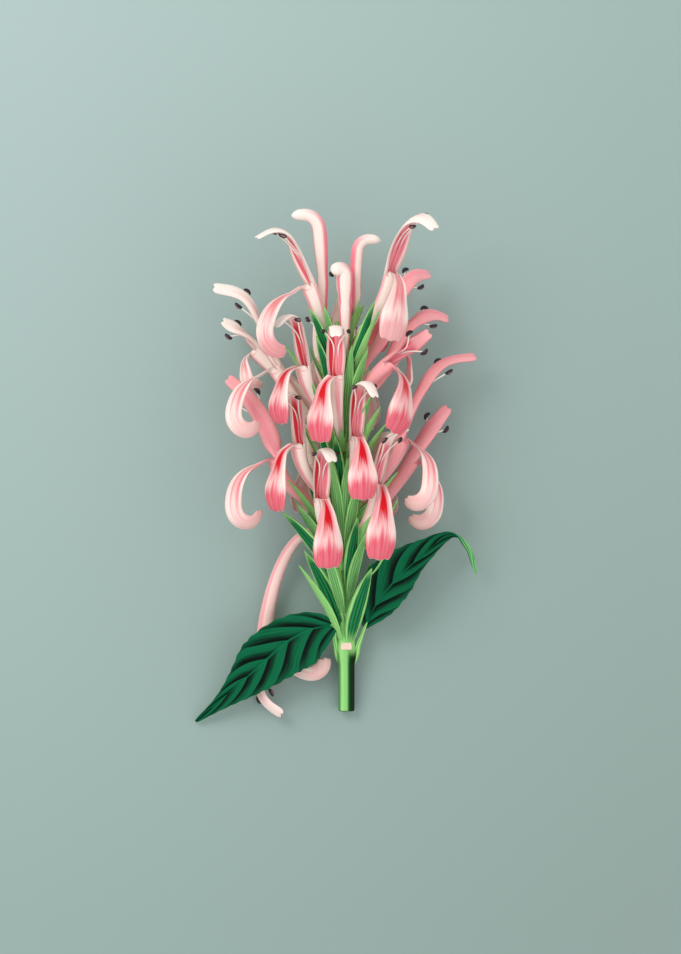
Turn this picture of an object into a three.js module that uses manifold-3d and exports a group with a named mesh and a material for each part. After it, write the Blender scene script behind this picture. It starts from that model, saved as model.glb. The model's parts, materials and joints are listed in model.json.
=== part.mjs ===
// Brazilian plume flower: one cut flowering stem, lying on a flat surface.
// Millimetres. +X right, +Y from the cut end to the top of the plume, +Z up from the surface.
// The plume is a green spike of bracts on a sloping stalk. Two-lipped flowers stand out of it all round:
// each is a narrow tube that splits at its throat into a hooded upper lip, with two stamens under it,
// and a lower lip that arches over, hangs down and ends in three lobes.

import * as THREE from 'three';
import { mergeVertices } from 'three/addons/utils/BufferGeometryUtils.js';
import Module from 'manifold-3d';

const wasm = await Module();
wasm.setup();

// Driving dimensions of the plant
const PETAL = 0.7;             // thickness of the lips and of a tube's wall
const BLADE = 0.8;             // thickness of bracts and leaves
const CLEARANCE = 0.35;        // between a flower and the green that it stands in
const SURFACE = 0.9;           // what would reach below this height is cut flat, and the plant rests there
const CUT_END_Y = -23.9;       // the cut end; y = 0 is the joint where the two leaves grow
const STALK_TOP_Y = 140;
const CUT_END_HEIGHT = 2.9;    // centre of the cut end above the surface
const STALK_SLOPE = 0.19;      // the stalk rises towards the plume, which is thicker than the stem

// The stalk's centre line at a height y along the plant
function stalkPoint(y) {
  const height = CUT_END_HEIGHT + STALK_SLOPE * (y - CUT_END_Y);
  return new THREE.Vector3(-0.6 - 0.025 * Math.max(0, y), y, height);
}

// Small tools
const radians = THREE.MathUtils.degToRad;

function along(table, v) {
  const next = Math.max(1, table.findIndex(([at]) => at >= v));
  const [[a, from], [b, to]] = [table[next - 1], table[next]];
  return THREE.MathUtils.lerp(from, to, (v - a) / (b - a));
}

function compass(angle) {
  return new THREE.Vector3(Math.sin(radians(angle)), 0, Math.cos(radians(angle)));
}

function squareTo(direction, tangent) {
  return direction.clone().addScaledVector(tangent, -direction.dot(tangent)).normalize();
}

// A closed skin gathered face by face from points; equal points become one vertex
class Skin {
  constructor() {
    this.corners = [];
  }
  triangle(a, b, c) {
    for (const p of [a, b, c]) this.corners.push(p.x, p.y, p.z);
  }
  quad(a, b, c, d) {
    this.triangle(a, b, c);
    this.triangle(a, c, d);
  }
  fan(ring) {
    for (let i = 1; i < ring.length - 1; i++) this.triangle(ring[0], ring[i], ring[i + 1]);
  }
  geometry() {
    const loose = new THREE.BufferGeometry();
    loose.setAttribute('position', new THREE.Float32BufferAttribute(this.corners, 3));
    return loose;
  }
}

function solidOf(geometry) {
  const bare = geometry.clone();
  bare.deleteAttribute('normal');
  bare.deleteAttribute('uv');
  const merged = mergeVertices(bare, 1e-3);
  return new wasm.Manifold(new wasm.Mesh({
    numProp: 3,
    vertProperties: merged.attributes.position.array,
    triVerts: new Uint32Array(merged.index.array),
  }));
}

function geometryOf(solid) {
  const mesh = solid.getMesh();
  const geometry = new THREE.BufferGeometry();
  geometry.setAttribute('position', new THREE.BufferAttribute(mesh.vertProperties, 3));
  geometry.setIndex(new THREE.BufferAttribute(mesh.triVerts, 1));
  return geometry;
}

// Rings of points joined one after another, with flat ends
function loft(rings) {
  const skin = new Skin();
  const count = rings[0].length;
  for (let i = 0; i < rings.length - 1; i++) {
    for (let k = 0; k < count; k++) {
      const next = (k + 1) % count;
      skin.quad(rings[i][k], rings[i][next], rings[i + 1][next], rings[i + 1][k]);
    }
  }
  skin.fan([...rings[0]].reverse());
  skin.fan(rings[rings.length - 1]);
  return skin.geometry();
}

function ring(frame, width, depth, sides) {
  return Array.from({ length: sides }, (_, k) => rim(frame, width, depth, (360 * k) / sides));
}

// A point of an ellipse round a frame: 0 degrees is its side, 90 degrees is its out direction
function rim(frame, width, depth, angle) {
  return frame.point.clone()
    .addScaledVector(frame.side, width * Math.cos(radians(angle)))
    .addScaledVector(frame.out, depth * Math.sin(radians(angle)));
}

// Frames along a curve: the tangent, the out direction square to it, and the side
function frameAt(point, tangent, facing) {
  const out = squareTo(facing, tangent);
  return { point, tangent, out, side: out.clone().cross(tangent) };
}

// The facing holds at the curve's end and is carried back along it without a twist
function curveFrames(curve, facing, stations) {
  const frames = [];
  let carried = facing;
  for (const s of [...stations].reverse()) {
    frames.unshift(frameAt(curve.getPoint(s), curve.getTangent(s), carried));
    carried = frames[0].out;
  }
  return frames;
}

// Frames along a line that starts in a frame and turns towards its out direction by turn(v) degrees
function turningFrames(start, length, turn, stations) {
  const STEPS = 40;
  const point = start.point.clone();
  const frames = [];
  for (let i = 0, next = 0; i <= STEPS; i++) {
    const v = i / STEPS;
    const angle = radians(turn(v));
    const tangent = start.tangent.clone().multiplyScalar(Math.cos(angle))
      .addScaledVector(start.out, Math.sin(angle));
    while (next < stations.length && stations[next] <= v + 1e-9) {
      frames.push(frameAt(point.clone(), tangent, start.out.clone().multiplyScalar(Math.cos(angle))
        .addScaledVector(start.tangent, -Math.sin(angle))));
      next++;
    }
    point.addScaledVector(tangent, length / STEPS);
  }
  return frames;
}

// The outward normals of a grid of points, from its neighbours
function gridNormals(rows) {
  return rows.map((row, i) => row.map((_, j) => {
    const across = new THREE.Vector3().subVectors(
      row[Math.min(j + 1, row.length - 1)], row[Math.max(j - 1, 0)]);
    const up = new THREE.Vector3().subVectors(
      rows[Math.min(i + 1, rows.length - 1)][j], rows[Math.max(i - 1, 0)][j]);
    return across.cross(up).normalize();
  }));
}

function offset(rows, normals, distance) {
  return rows.map((row, i) => row.map((p, j) =>
    p.clone().addScaledVector(normals[i][j], distance)));
}

// Both faces of a thin sheet, and the edges down its two sides; each quad is split alike on both faces
function addSheet(skin, outer, inner) {
  const last = outer[0].length - 1;
  for (let i = 0; i < outer.length - 1; i++) {
    for (let j = 0; j < last; j++) {
      skin.quad(outer[i][j], outer[i][j + 1], outer[i + 1][j + 1], outer[i + 1][j]);
      skin.triangle(inner[i][j], inner[i + 1][j + 1], inner[i][j + 1]);
      skin.triangle(inner[i][j], inner[i + 1][j], inner[i + 1][j + 1]);
    }
    skin.quad(outer[i][0], outer[i + 1][0], inner[i + 1][0], inner[i][0]);
    skin.quad(outer[i + 1][last], outer[i][last], inner[i][last], inner[i + 1][last]);
  }
}

// The far end of a sheet: straight across, or with a pointed lobe on the named stretches
function addTip(skin, outer, inner, tangent, lobes) {
  for (let j = 0; j < outer.length - 1; j++) {
    const reach = lobes[j] ?? 0;
    if (!reach) {
      skin.quad(outer[j], outer[j + 1], inner[j + 1], inner[j]);
      continue;
    }
    const [top, under] = [outer, inner].map((edge) =>
      edge[j].clone().lerp(edge[j + 1], 0.5).addScaledVector(tangent, reach));
    skin.triangle(outer[j], outer[j + 1], top);
    skin.triangle(inner[j + 1], inner[j], under);
    skin.quad(outer[j + 1], inner[j + 1], under, top);
    skin.quad(top, under, inner[j], outer[j]);
  }
}

function sheetGeometry(rows, thickness, lobes = []) {
  const normals = gridNormals(rows);
  const outer = offset(rows, normals, thickness / 2);
  const inner = offset(rows, normals, -thickness / 2);
  const skin = new Skin();
  addSheet(skin, outer, inner);
  const end = rows.length - 1;
  const tangent = new THREE.Vector3().subVectors(rows[end][0], rows[end - 1][0]).normalize();
  addTip(skin, outer[end], inner[end], tangent, lobes);
  for (let j = 0; j < rows[0].length - 1; j++) {
    skin.quad(outer[0][j + 1], outer[0][j], inner[0][j], inner[0][j + 1]);
  }
  return skin.geometry();
}

// Shape of a flower, along its parts from 0 to 1
const RING = 6;
const TUBE_STATIONS = [0, 0.3, 0.55, 0.8, 1];
const TUBE_RADIUS = [[0, 1.5], [0.4, 1.9], [0.75, 2.5], [1, 3.1]];
const HOLLOW_FROM = 3;         // the tube's row where its hollow starts
const UPPER_STATIONS = [0, 0.3, 0.55, 0.75, 1];
const UPPER_WIDTH = [[0, 3.1], [0.3, 3.8], [0.6, 3.4], [0.85, 2.5], [1, 2.2]];
const BROAD_WIDTH = [[0, 3.1], [0.3, 4.9], [0.6, 4.3], [0.85, 2.8], [1, 2.3]];
const UPPER_DEPTH = [[0, 3.1], [0.3, 2.4], [0.7, 1.4], [1, 0.7]];
const UPPER_LOBES = [1.4, 0, 1.4];
const LOWER_STATIONS = [0, 0.16, 0.32, 0.48, 0.64, 0.8, 1];
const LOWER_WIDTH = [[0, 3.1], [0.14, 2.3], [0.4, 3.7], [0.78, 6.4], [0.92, 5.8], [1, 4.8]];
const STRAP_WIDTH = [[0, 3.1], [0.14, 2], [0.4, 2.8], [0.75, 3.5], [0.92, 3.4], [1, 2.9]];
const LOWER_DEPTH = [[0, 3.1], [0.14, 1.1], [0.3, 0], [0.6, -1.4], [0.85, -2], [1, -1]];
const LOWER_LOBES = [2, 2.6, 2];
const LIP_OPENING = 30;        // degrees between the tube and the start of its lower lip
const FILAMENT = 0.42;
const ANTHER = { length: 4, thickness: 2.2 };

// The tube of a flower runs from the stalk to its throat, where it points the way that the flower grows
function tubeCurve(flower) {
  const throat = throatPoint(flower);
  const grows = new THREE.Vector3(...flower.grows).normalize();
  const heart = stalkPoint(flower.root);
  const away = throat.clone().sub(stalkPoint(flower.throat[1])).setY(0).normalize();
  const base = heart.addScaledVector(away, 3.4);
  const reach = base.distanceTo(throat) * (flower.sweep ?? 0.34);
  const rising = away.clone().multiplyScalar(flower.spring ?? 0.5).setY(1).normalize();
  return new THREE.CubicBezierCurve3(base, base.clone().addScaledVector(rising, reach),
    throat.clone().addScaledVector(grows, -reach), throat);
}

function throatPoint({ throat: [x, y, lift] }) {
  return new THREE.Vector3(x, y, stalkPoint(y).z + lift);
}

function throatFrame(flower) {
  return frameAt(throatPoint(flower), new THREE.Vector3(...flower.grows).normalize(),
    new THREE.Vector3(...flower.opens));
}

// The lower lip may lean round to one side of the upper lip
function lowerStart(flower) {
  const throat = throatFrame(flower);
  return frameAt(throat.point, throat.tangent,
    throat.out.clone().applyAxisAngle(throat.tangent, radians(flower.lower[3] ?? 0)));
}

function tubeFrames(flower, stations) {
  return curveFrames(tubeCurve(flower), new THREE.Vector3(...flower.opens), stations);
}

function upperTurn({ upper: [, bend, hook] }) {
  return (v) => bend * v + hook * THREE.MathUtils.smoothstep(v, 0.5, 0.9);
}

function lowerTurn({ lower: [, hangs, curl, , spread = 0.42, opening = LIP_OPENING] }) {
  return (v) => opening + (hangs - opening) * THREE.MathUtils.smoothstep(v, -0.16, spread)
    + curl * Math.max(0, (v - 0.62) / 0.38) ** 1.3;
}

// A lip may roll its face to one side on its way to its end
function rolled(frames, stations, roll, from, to) {
  return frames.map((frame, i) => {
    const turn = radians(roll * THREE.MathUtils.smoothstep(stations[i], from, to));
    const [out, side] = [frame.out, frame.side].map((way) => way.clone().applyAxisAngle(frame.tangent, turn));
    return { ...frame, out, side };
  });
}

function upperFrames(flower, stations, growth = 0) {
  const frames = turningFrames(throatFrame(flower), flower.upper[0] + growth, upperTurn(flower), stations);
  const [from, to] = flower.early ? [-0.2, 0.25] : [0.3, 0.85];
  return rolled(frames, stations, flower.roll?.[0] ?? 0, from, to);
}

function lowerFrames(flower, stations, growth = 0) {
  const frames = turningFrames(lowerStart(flower), flower.lower[0] + growth, lowerTurn(flower), stations);
  return rolled(frames, stations, flower.roll?.[1] ?? 0, 0.1, 0.6);
}

function upperWidth(flower) {
  return flower.broad ? BROAD_WIDTH : UPPER_WIDTH;
}

// A flower at the side of the plume has a narrower lower lip, like a strap
function lowerWidth(flower) {
  return flower.strap ? STRAP_WIDTH : LOWER_WIDTH;
}

function lipRows(frames, { stations, widths, depths, angles }, growth) {
  return frames.map((frame, i) => angles.map((angle) =>
    rim(frame, along(widths, stations[i]) + growth, along(depths, stations[i]), angle)));
}

const UPPER_ANGLES = [180, 240, 300, 360];
const LOWER_ANGLES = [0, 60, 120, 180];

// The corolla: a tube, hollow near its throat, whose wall runs on into the two lips
function corolla(flower, growth) {
  const wall = PETAL + 2 * growth;
  const tube = tubeFrames(flower, TUBE_STATIONS);
  const rings = (grow) => tube.map((frame, i) => {
    const radius = along(TUBE_RADIUS, TUBE_STATIONS[i]) + grow;
    return ring(frame, radius, radius, RING);
  });
  const outerTube = rings(wall / 2);
  const innerTube = rings(-wall / 2);
  const skin = new Skin();
  for (let i = 0; i < tube.length - 1; i++) {
    for (let k = 0; k < RING; k++) {
      const next = (k + 1) % RING;
      skin.quad(outerTube[i][k], outerTube[i][next], outerTube[i + 1][next], outerTube[i + 1][k]);
      if (i < HOLLOW_FROM) continue;
      skin.quad(innerTube[i][next], innerTube[i][k], innerTube[i + 1][k], innerTube[i + 1][next]);
    }
  }
  skin.fan([...outerTube[0]].reverse());
  skin.fan(innerTube[HOLLOW_FROM]);

  const mouth = { outer: outerTube[tube.length - 1], inner: innerTube[tube.length - 1] };
  const lips = [
    {
      first: 3, angles: UPPER_ANGLES, lobes: UPPER_LOBES, stations: UPPER_STATIONS,
      widths: upperWidth(flower), depths: UPPER_DEPTH, frames: upperFrames(flower, UPPER_STATIONS, growth),
    },
    {
      first: 0, angles: LOWER_ANGLES, lobes: LOWER_LOBES, stations: LOWER_STATIONS,
      widths: lowerWidth(flower), depths: LOWER_DEPTH, frames: lowerFrames(flower, LOWER_STATIONS, growth),
    },
  ];
  for (const lip of lips) {
    const rows = lipRows(lip.frames, lip, growth);
    const normals = gridNormals(rows);
    const [outer, inner] = [wall / 2, -wall / 2].map((distance) => offset(rows, normals, distance));
    outer[0] = lip.angles.map((_, j) => mouth.outer[(lip.first + j) % RING]);
    inner[0] = lip.angles.map((_, j) => mouth.inner[(lip.first + j) % RING]);
    addSheet(skin, outer, inner);
    const end = rows.length - 1;
    addTip(skin, outer[end], inner[end], lip.frames[end].tangent, lip.lobes);
  }
  return solidOf(skin.geometry());
}

// A stamen grows from the wall under the upper lip and holds its anther out beside the lip's end
const STAMEN_STATIONS = [0.1, 0.5, 0.72];
const STAMEN_ASIDE = [1.4, 1.5, 5];
const STAMEN_LIFT = [-2.4, -0.1, 1];

function stamen(flower, hand, growth) {
  const frames = upperFrames(flower, STAMEN_STATIONS);
  const path = frames.map((frame, i) => frame.point.clone()
    .addScaledVector(frame.side, hand * STAMEN_ASIDE[i]).addScaledVector(frame.out, STAMEN_LIFT[i]));
  const last = path.length - 1;
  const radius = FILAMENT + growth;
  const rings = path.map((point, i) => {
    const tangent = new THREE.Vector3()
      .subVectors(path[Math.min(i + 1, last)], path[Math.max(i - 1, 0)]).normalize();
    return ring(frameAt(point, tangent, frames[i].out), radius, radius, 3);
  });
  const anther = new THREE.OctahedronGeometry(1, 0);
  anther.scale(ANTHER.thickness / 2 + growth, ANTHER.length / 2 + growth, ANTHER.thickness / 2 + growth);
  const { side, tangent } = frames[last];
  anther.applyMatrix4(new THREE.Matrix4().makeBasis(side, tangent, side.clone().cross(tangent))
    .setPosition(path[last]));
  return solidOf(loft(rings)).add(solidOf(anther));
}

function openFlower(flower, growth = 0) {
  return corolla(flower, growth).add(stamen(flower, 1, growth)).add(stamen(flower, -1, growth));
}

// A bud is a closed club with a hooked end
const BUD_STATIONS = [0, 0.2, 0.45, 0.7, 0.82, 0.91, 0.97, 1];
const BUD_RADIUS = [[0, 2.2], [0.45, 3], [0.8, 2.7], [0.93, 2.3], [1, 0.9]];

function budSolid(bud, growth = 0) {
  const tube = tubeFrames(bud, TUBE_STATIONS);
  const girth = bud.girth ?? 1;
  const low = tube.map((frame, i) => {
    const radius = along(TUBE_RADIUS, TUBE_STATIONS[i]) * 0.84 * girth + growth;
    return ring(frame, radius, radius, RING);
  });
  const frames = turningFrames(throatFrame(bud), bud.upper[0], upperTurn(bud), BUD_STATIONS);
  const high = frames.slice(1).map((frame, i) => {
    const radius = along(BUD_RADIUS, BUD_STATIONS[i + 1]) * girth + growth;
    return ring(frame, radius * 0.9, radius, RING);
  });
  return solidOf(loft([...low, ...high]));
}

// The flowers. throat is [x, y, height above the stalk]; root is where the tube leaves the stalk.
// grows is the way that the tube points at its throat, and opens the way that the mouth looks.
// upper is [length, steady bend, hook near its end], and
// lower is [length, angle it hangs at, curl of its end, lean to the right, spread of its arch,
// angle it starts at], in mm and degrees; the last ones may be left out.
// roll is how far the upper and the lower lip roll their faces to one side, in degrees.
// strap marks a flower whose lower lip is a narrow strap, broad one with a wide upper lip, and early
// one whose upper lip rolls at once.
const FLOWERS = [
  {
    name: 'flower_top_left', throat: [-16, 153.5, 7], root: 122, grows: [-0.4, 0.9, 0.1],
    opens: [-0.9, 0, 0.35], upper: [38, -4, 97], lower: [46, 144, 120, 12, 0.86, 66], roll: [-15, -48],
    strap: true, broad: true,
  },
  {
    name: 'flower_top_right', throat: [18.2, 158.5, 8], root: 123, grows: [0.24, 0.95, 0.1],
    opens: [0.75, 0, 0.65], upper: [39, 24, 92], lower: [33, 170, 10, -22], roll: [40, 0],
    broad: true,
  },
  {
    name: 'flower_left', throat: [-18.6, 119.6, 11.4], root: 92, grows: [-0.15, 0.95, 0.15],
    opens: [-0.75, 0, 0.65], upper: [33, 0, 120], lower: [31, 156, 40, -4, 0.5],
  },
  {
    name: 'flower_middle', throat: [-5, 115.6, 14], root: 86, grows: [0, 1, 0.12],
    opens: [0, 0, 1], upper: [31, 2, 120], lower: [33, 170, 20, -34],
  },
  {
    name: 'flower_right', throat: [16.5, 121.5, 10], root: 90, grows: [0.8, 0.55, 0.2],
    opens: [0.7, -0.6, 0.5], upper: [22, -12, 8], lower: [33.5, 128, 26, 0, 0.52], roll: [-65, 25],
  },
  {
    name: 'flower_lower_middle', throat: [3.8, 90.3, 14], root: 62, grows: [0.03, 1, 0.12],
    opens: [0.55, 0, 0.8], upper: [35, 6, 130], lower: [31, 170, 14, -20],
  },
  {
    name: 'flower_lower_left', throat: [-20.8, 87, 9], root: 58, grows: [-0.05, 1, 0.1],
    opens: [-0.7, 0, 0.7], upper: [33, 4, 125], lower: [34, 165, 30, -5],
  },
  {
    name: 'flower_front', throat: [-11, 64.3, 13.4], root: 36, grows: [0.02, 1, 0.15],
    opens: [0.35, 0, 0.9], upper: [32, 4, 125], lower: [34, 172, 10, -6],
  },
  {
    name: 'flower_lower_right', throat: [12.6, 70.1, 12], root: 42, grows: [0.1, 1, 0.1],
    opens: [0.75, 0, 0.6], upper: [31, 24, 46], lower: [37, 174, 8, -36],
  },
  {
    name: 'flower_side_left_high', throat: [-29.5, 119, -3], root: 84, grows: [-0.52, 0.85, 0.05],
    opens: [-0.9, 0, 0.2], upper: [48, -34, 80], lower: [47, 144, 170, 14, 0.8, 56], roll: [-65, -55],
    strap: true,
  },
  {
    name: 'flower_side_left_mid', throat: [-38.5, 127.6, -16.6], root: 95, grows: [-0.65, 0.75, 0],
    opens: [-0.85, -0.2, 0.15], upper: [19, 6, 16], lower: [21, 148, 130, 0, 0.48], roll: [-65, -40],
    strap: true,
  },
  {
    name: 'flower_side_left_low', throat: [-29.8, 80.4, 2], root: 53, grows: [-0.15, 0.98, 0.05],
    opens: [-0.95, 0, -0.1], upper: [42, 44, 0], lower: [50, 180, 170, 34, 0.78, 64], roll: [-75, -55],
    strap: true, early: true,
  },
  {
    name: 'flower_side_right_1', throat: [18.5, 141.2, -8], root: 112, grows: [0.3, 0.93, -0.1],
    opens: [0.75, 0, -0.65], upper: [29, 28, 46], lower: [18, 165, 60, 80], roll: [50, 0],
  },
  {
    name: 'flower_side_right_2', throat: [20.6, 128, -7.4], root: 97.5, grows: [0.4, 0.9, -0.1],
    opens: [0.85, -0.1, -0.45], upper: [30, 54, 34], lower: [22, 160, 90, -20], roll: [50, 0],
  },
  {
    name: 'flower_side_right_3', throat: [22.7, 89.5, -0.5], root: 57, grows: [0.3, 0.95, 0],
    opens: [0.9, 0, -0.3], upper: [52, 24, 46], lower: [42, 165, 140, -50, 0.66, 70], roll: [30, 55],
    strap: true,
  },
  {
    name: 'flower_side_right_4', throat: [26.9, 81.5, -10], root: 44, grows: [0.5, 0.85, 0],
    opens: [0.75, 0, -0.6], upper: [27, 6, 8], lower: [39, 158, 140, -60, 0.66, 70], roll: [40, 55],
    strap: true,
  },
  {
    name: 'flower_fallen', throat: [-35.2, 8, -2.4], root: 47.5, grows: [-0.08, -1, 0],
    opens: [1, 0, 0.1], upper: [37, 0, 60], lower: [35.5, 78, 112, 0, 0.9], sweep: 0.46, spring: 1.1,
    roll: [-50, -55], strap: true,
  },
  {
    name: 'flower_under_1', throat: [5.4, 119.4, -16.3], root: 104, grows: [0.1, 0.97, -0.15],
    opens: [0.3, 0, -0.95], upper: [27, 0, 90], lower: [31, 165, 30],
  },
  {
    name: 'flower_under_2', throat: [-11, 123.6, -16.9], root: 102, grows: [-0.02, 0.97, -0.15],
    opens: [-0.3, 0, -0.95], upper: [27, 0, 90], lower: [31, 165, 30],
  },
  {
    name: 'flower_under_3', throat: [-2.4, 95.6, -13], root: 74, grows: [0, 0.97, -0.1],
    opens: [0, 0, -1], upper: [22, 0, 90], lower: [22, 165, 30],
  },
  {
    name: 'flower_under_4', throat: [-14.5, 78.6, -10], root: 56, grows: [-0.1, 0.97, -0.1],
    opens: [-0.6, 0, -0.8], upper: [24, 0, 90], lower: [24, 165, 30],
  },
  {
    name: 'flower_under_5', throat: [-1, 150, -8], root: 122, grows: [-0.05, 0.97, -0.1],
    opens: [-0.2, 0, -1], upper: [16, 0, 90], lower: [30, 165, 30],
  },
  {
    name: 'flower_under_6', throat: [-1, 60, -8], root: 36, grows: [0, 0.97, -0.1],
    opens: [0, 0, -1], upper: [18, 0, 90], lower: [19, 165, 30],
  },
  {
    name: 'flower_under_7', throat: [12.6, 75.4, -9.6], root: 52, grows: [0.15, 0.97, -0.05],
    opens: [0.6, 0, -0.8], upper: [24, 0, 90], lower: [22, 165, 30],
  },
];

const BUDS = [
  {
    name: 'bud_left', throat: [-10.6, 159, -1], root: 130, grows: [-0.05, 1, 0],
    opens: [-1, 0, 0.2], upper: [35, 4, 90],
  },
  {
    name: 'bud_middle', throat: [-1.2, 147.5, 8], root: 118, grows: [0.02, 1, 0],
    opens: [-0.8, 0, 0.5], upper: [20, 4, 110], girth: 1.1,
  },
  {
    name: 'bud_right', throat: [3.4, 153.3, -1], root: 136, grows: [-0.03, 1, 0],
    opens: [1, 0, 0], upper: [29, 12, 90], girth: 0.85,
  },
];

// The four-angled stalk, thicker at its foot and at the joint of the leaves
const STALK_ROWS = [
  [CUT_END_Y, 4.1], [-4, 4.1], [-1.5, 4.9], [2.5, 4.8], [8, 3.8], [25, 3.1], [45, 2.8], [90, 2.4],
  [STALK_TOP_Y, 1.7],
];
const RIB_SHARE = 0.74;        // the flats lie this far out, as a share of the ribs

function stalkSolid() {
  const rings = STALK_ROWS.map(([y, radius]) => {
    const tangent = stalkPoint(y + 1).sub(stalkPoint(y - 1)).normalize();
    const frame = frameAt(stalkPoint(y), tangent, new THREE.Vector3(0, 0, 1));
    return Array.from({ length: 8 }, (_, k) => {
      const reach = radius * (k % 2 ? 1 : RIB_SHARE);
      return rim(frame, reach, reach, 45 * k);
    });
  });
  return solidOf(loft(rings));
}

// A green blade, folded along its middle: half widths along it, from its foot to its tip
const BRACT_STATIONS = [0, 0.35, 0.72, 1];
const BRACT_WIDTH = [[0, 1], [0.3, 3.4], [0.6, 3.6], [0.85, 1.9], [1, 0.3]];
const WIDEST = 3.6;
const BRACT_FOLD = 0.45;       // how far a bract's edges fold in, as a share of its width
const BRACT_FOOT = 1.7;        // its foot lies this far out of the stalk's centre line, well inside the stalk

function bractFrames(bract, stations) {
  if (bract.curve) return curveFrames(bract.curve, bract.facing, stations);
  const { y, angle, length, lean } = bract;
  const outward = compass(angle);
  const foot = stalkPoint(y).addScaledVector(outward, BRACT_FOOT);
  const start = frameAt(foot, new THREE.Vector3(0, 1, STALK_SLOPE).normalize(), outward);
  return turningFrames(start, length, (v) => lean * (1.5 - 1.1 * v), stations);
}

function bractHalf({ half = WIDEST }, v) {
  return (along(BRACT_WIDTH, v) * half) / WIDEST;
}

function bractSolid(bract) {
  const rows = bractFrames(bract, BRACT_STATIONS).map((frame, i) => {
    const half = bractHalf(bract, BRACT_STATIONS[i]);
    return [-1, 0, 1].map((side) => frame.point.clone()
      .addScaledVector(frame.side, -side * half)
      .addScaledVector(frame.out, -Math.abs(side) * half * BRACT_FOLD));
  });
  return solidOf(sheetGeometry(rows, BLADE));
}

// Round spots along the flowers and leaves, each with the room that it takes
const TUBE_SPOTS = [0.15, 0.3, 0.45, 0.6, 0.75, 0.9, 1];
const LIP_SPOTS = [0.2, 0.4, 0.6, 0.8, 1];
const LIP_ROOM = 0.6;          // a lip is thin, so it takes less room than its width

function flowerSpots(flower) {
  const curve = tubeCurve(flower);
  const spots = TUBE_SPOTS.map((s) => ({ point: curve.getPoint(s), room: along(TUBE_RADIUS, s) + PETAL }));
  const lip = (frames, widths) => frames.forEach(({ point }, i) => {
    spots.push({ point, room: LIP_ROOM * along(widths, LIP_SPOTS[i]) });
  });
  lip(upperFrames(flower, LIP_SPOTS), flower.lower ? upperWidth(flower) : BUD_RADIUS);
  if (flower.lower) lip(lowerFrames(flower, LIP_SPOTS), lowerWidth(flower));
  return spots;
}

function leafSpots({ petiole, midrib }) {
  return [...vectors(petiole), ...vectors(midrib)].map((point) => ({ point, room: PETIOLE + 1 }));
}

// How far a bract would press into the spots round it, or down on the surface
const BRACT_SPOTS = [0.2, 0.35, 0.5, 0.65, 0.8, 1];

function crossing(bract, spots) {
  let sum = 0;
  bractFrames(bract, BRACT_SPOTS).forEach(({ point }, i) => {
    const half = 0.8 * bractHalf(bract, BRACT_SPOTS[i]) + CLEARANCE;
    for (const spot of spots) sum += Math.max(0, spot.room + half - point.distanceTo(spot.point)) ** 2;
    sum += 9 * Math.max(0, SURFACE + 2 - point.z) ** 2;
  });
  return sum;
}

// The bracts that show from above, as [root, x, y, half width]: the height where one leaves the stalk,
// the place of its tip, and its size. Each takes the height over the stalk where the flowers leave it
// the most room, and rather a high one.
const FRONT_BRACTS = [
  [3, -18.5, 44, 4],
  [2, -20.8, 38, 1.8],
  [24, -27.7, 60, 3.8],
  [1, 10.1, 36.5, 3.6],
  [14, -10.9, 46, 2.4],
  [24, 4.2, 58, 2.8],
  [20, 7.6, 51, 2.3],
  [36, 13, 62, 1.8],
  [28, -21, 63, 2.4],
  [26, -19.7, 80.6, 2.8],
  [34, -25.6, 74, 2],
  [40, 4.6, 73.5, 2.4],
  [46, 0, 83.2, 2.5],
  [44, -7.1, 82, 2.5],
  [42, 21, 77, 1.6],
  [52, -12.6, 96, 2.8],
  [60, -5.5, 92, 3],
  [64, 16.8, 98, 1.8],
  [68, 13.9, 104.5, 2.1],
  [70, 9.7, 109, 2.3],
  [74, -16.8, 116.5, 2.4],
  [78, -4, 109.5, 2],
  [84, 1.7, 130, 2.4],
  [88, 8.4, 128.5, 2.3],
  [86, -26.5, 130, 2],
  [92, -13.4, 134, 2.8],
  [94, -8.2, 131, 2.2],
  [98, 11.3, 148.3, 3],
  [102, 13.4, 144.5, 1.6],
  [108, -16, 145.3, 2.8],
  [110, -10, 146.6, 2.3],
  [116, 4.6, 148.3, 1.5],
];
const FRONT_LIFTS = [13, 11.5, 10, 8.5, 7, 5.5, 4];

function frontBract([root, x, y, half], lift) {
  const foot = stalkPoint(root).add(new THREE.Vector3(Math.sign(x), 0, 1.2));
  const tip = new THREE.Vector3(x, y, stalkPoint(y).z + lift);
  const bend = foot.clone().lerp(tip, 0.5);
  bend.x += 0.2 * (foot.x - tip.x);
  bend.z += 0.3 * lift;
  const curve = new THREE.QuadraticBezierCurve3(foot, bend, tip);
  return { curve, half, facing: new THREE.Vector3(x / 25, 0, 1) };
}

function frontBracts(spots) {
  return FRONT_BRACTS.map((row) => {
    const places = FRONT_LIFTS.map((lift) => {
      const bract = frontBract(row, lift);
      return { bract, crossed: crossing(bract, spots) - HIGHER * lift };
    });
    return leastCrossed(places);
  });
}

// Under and beside the stalk bracts grow in pairs. Each draws a few places and takes the one where the
// flowers leave it the most room.
const HIGHER = 0.6;            // what one mm of height is worth against a crossing, in mm2
const PAIRS = 7;
const PAIR_STEP = 17;
const PAIR_FIRST = 6;
const BRACT_TRIES = 80;
const BRACT_LENGTH = [36, 27];  // in the lowest pair and in the highest one
const BRACT_LEAN = [42, 20];
const PRESSED = 0.5;           // bracts under the stalk lean out less, because the surface is near

function seeded(seed) {
  let state = seed;
  return (low, high) => {
    state = (state * 1664525 + 1013904223) % 4294967296;
    return low + (high - low) * (state / 4294967296);
  };
}

function leastCrossed(places) {
  return places.reduce((a, b) => (a.crossed <= b.crossed ? a : b)).bract;
}

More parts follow.
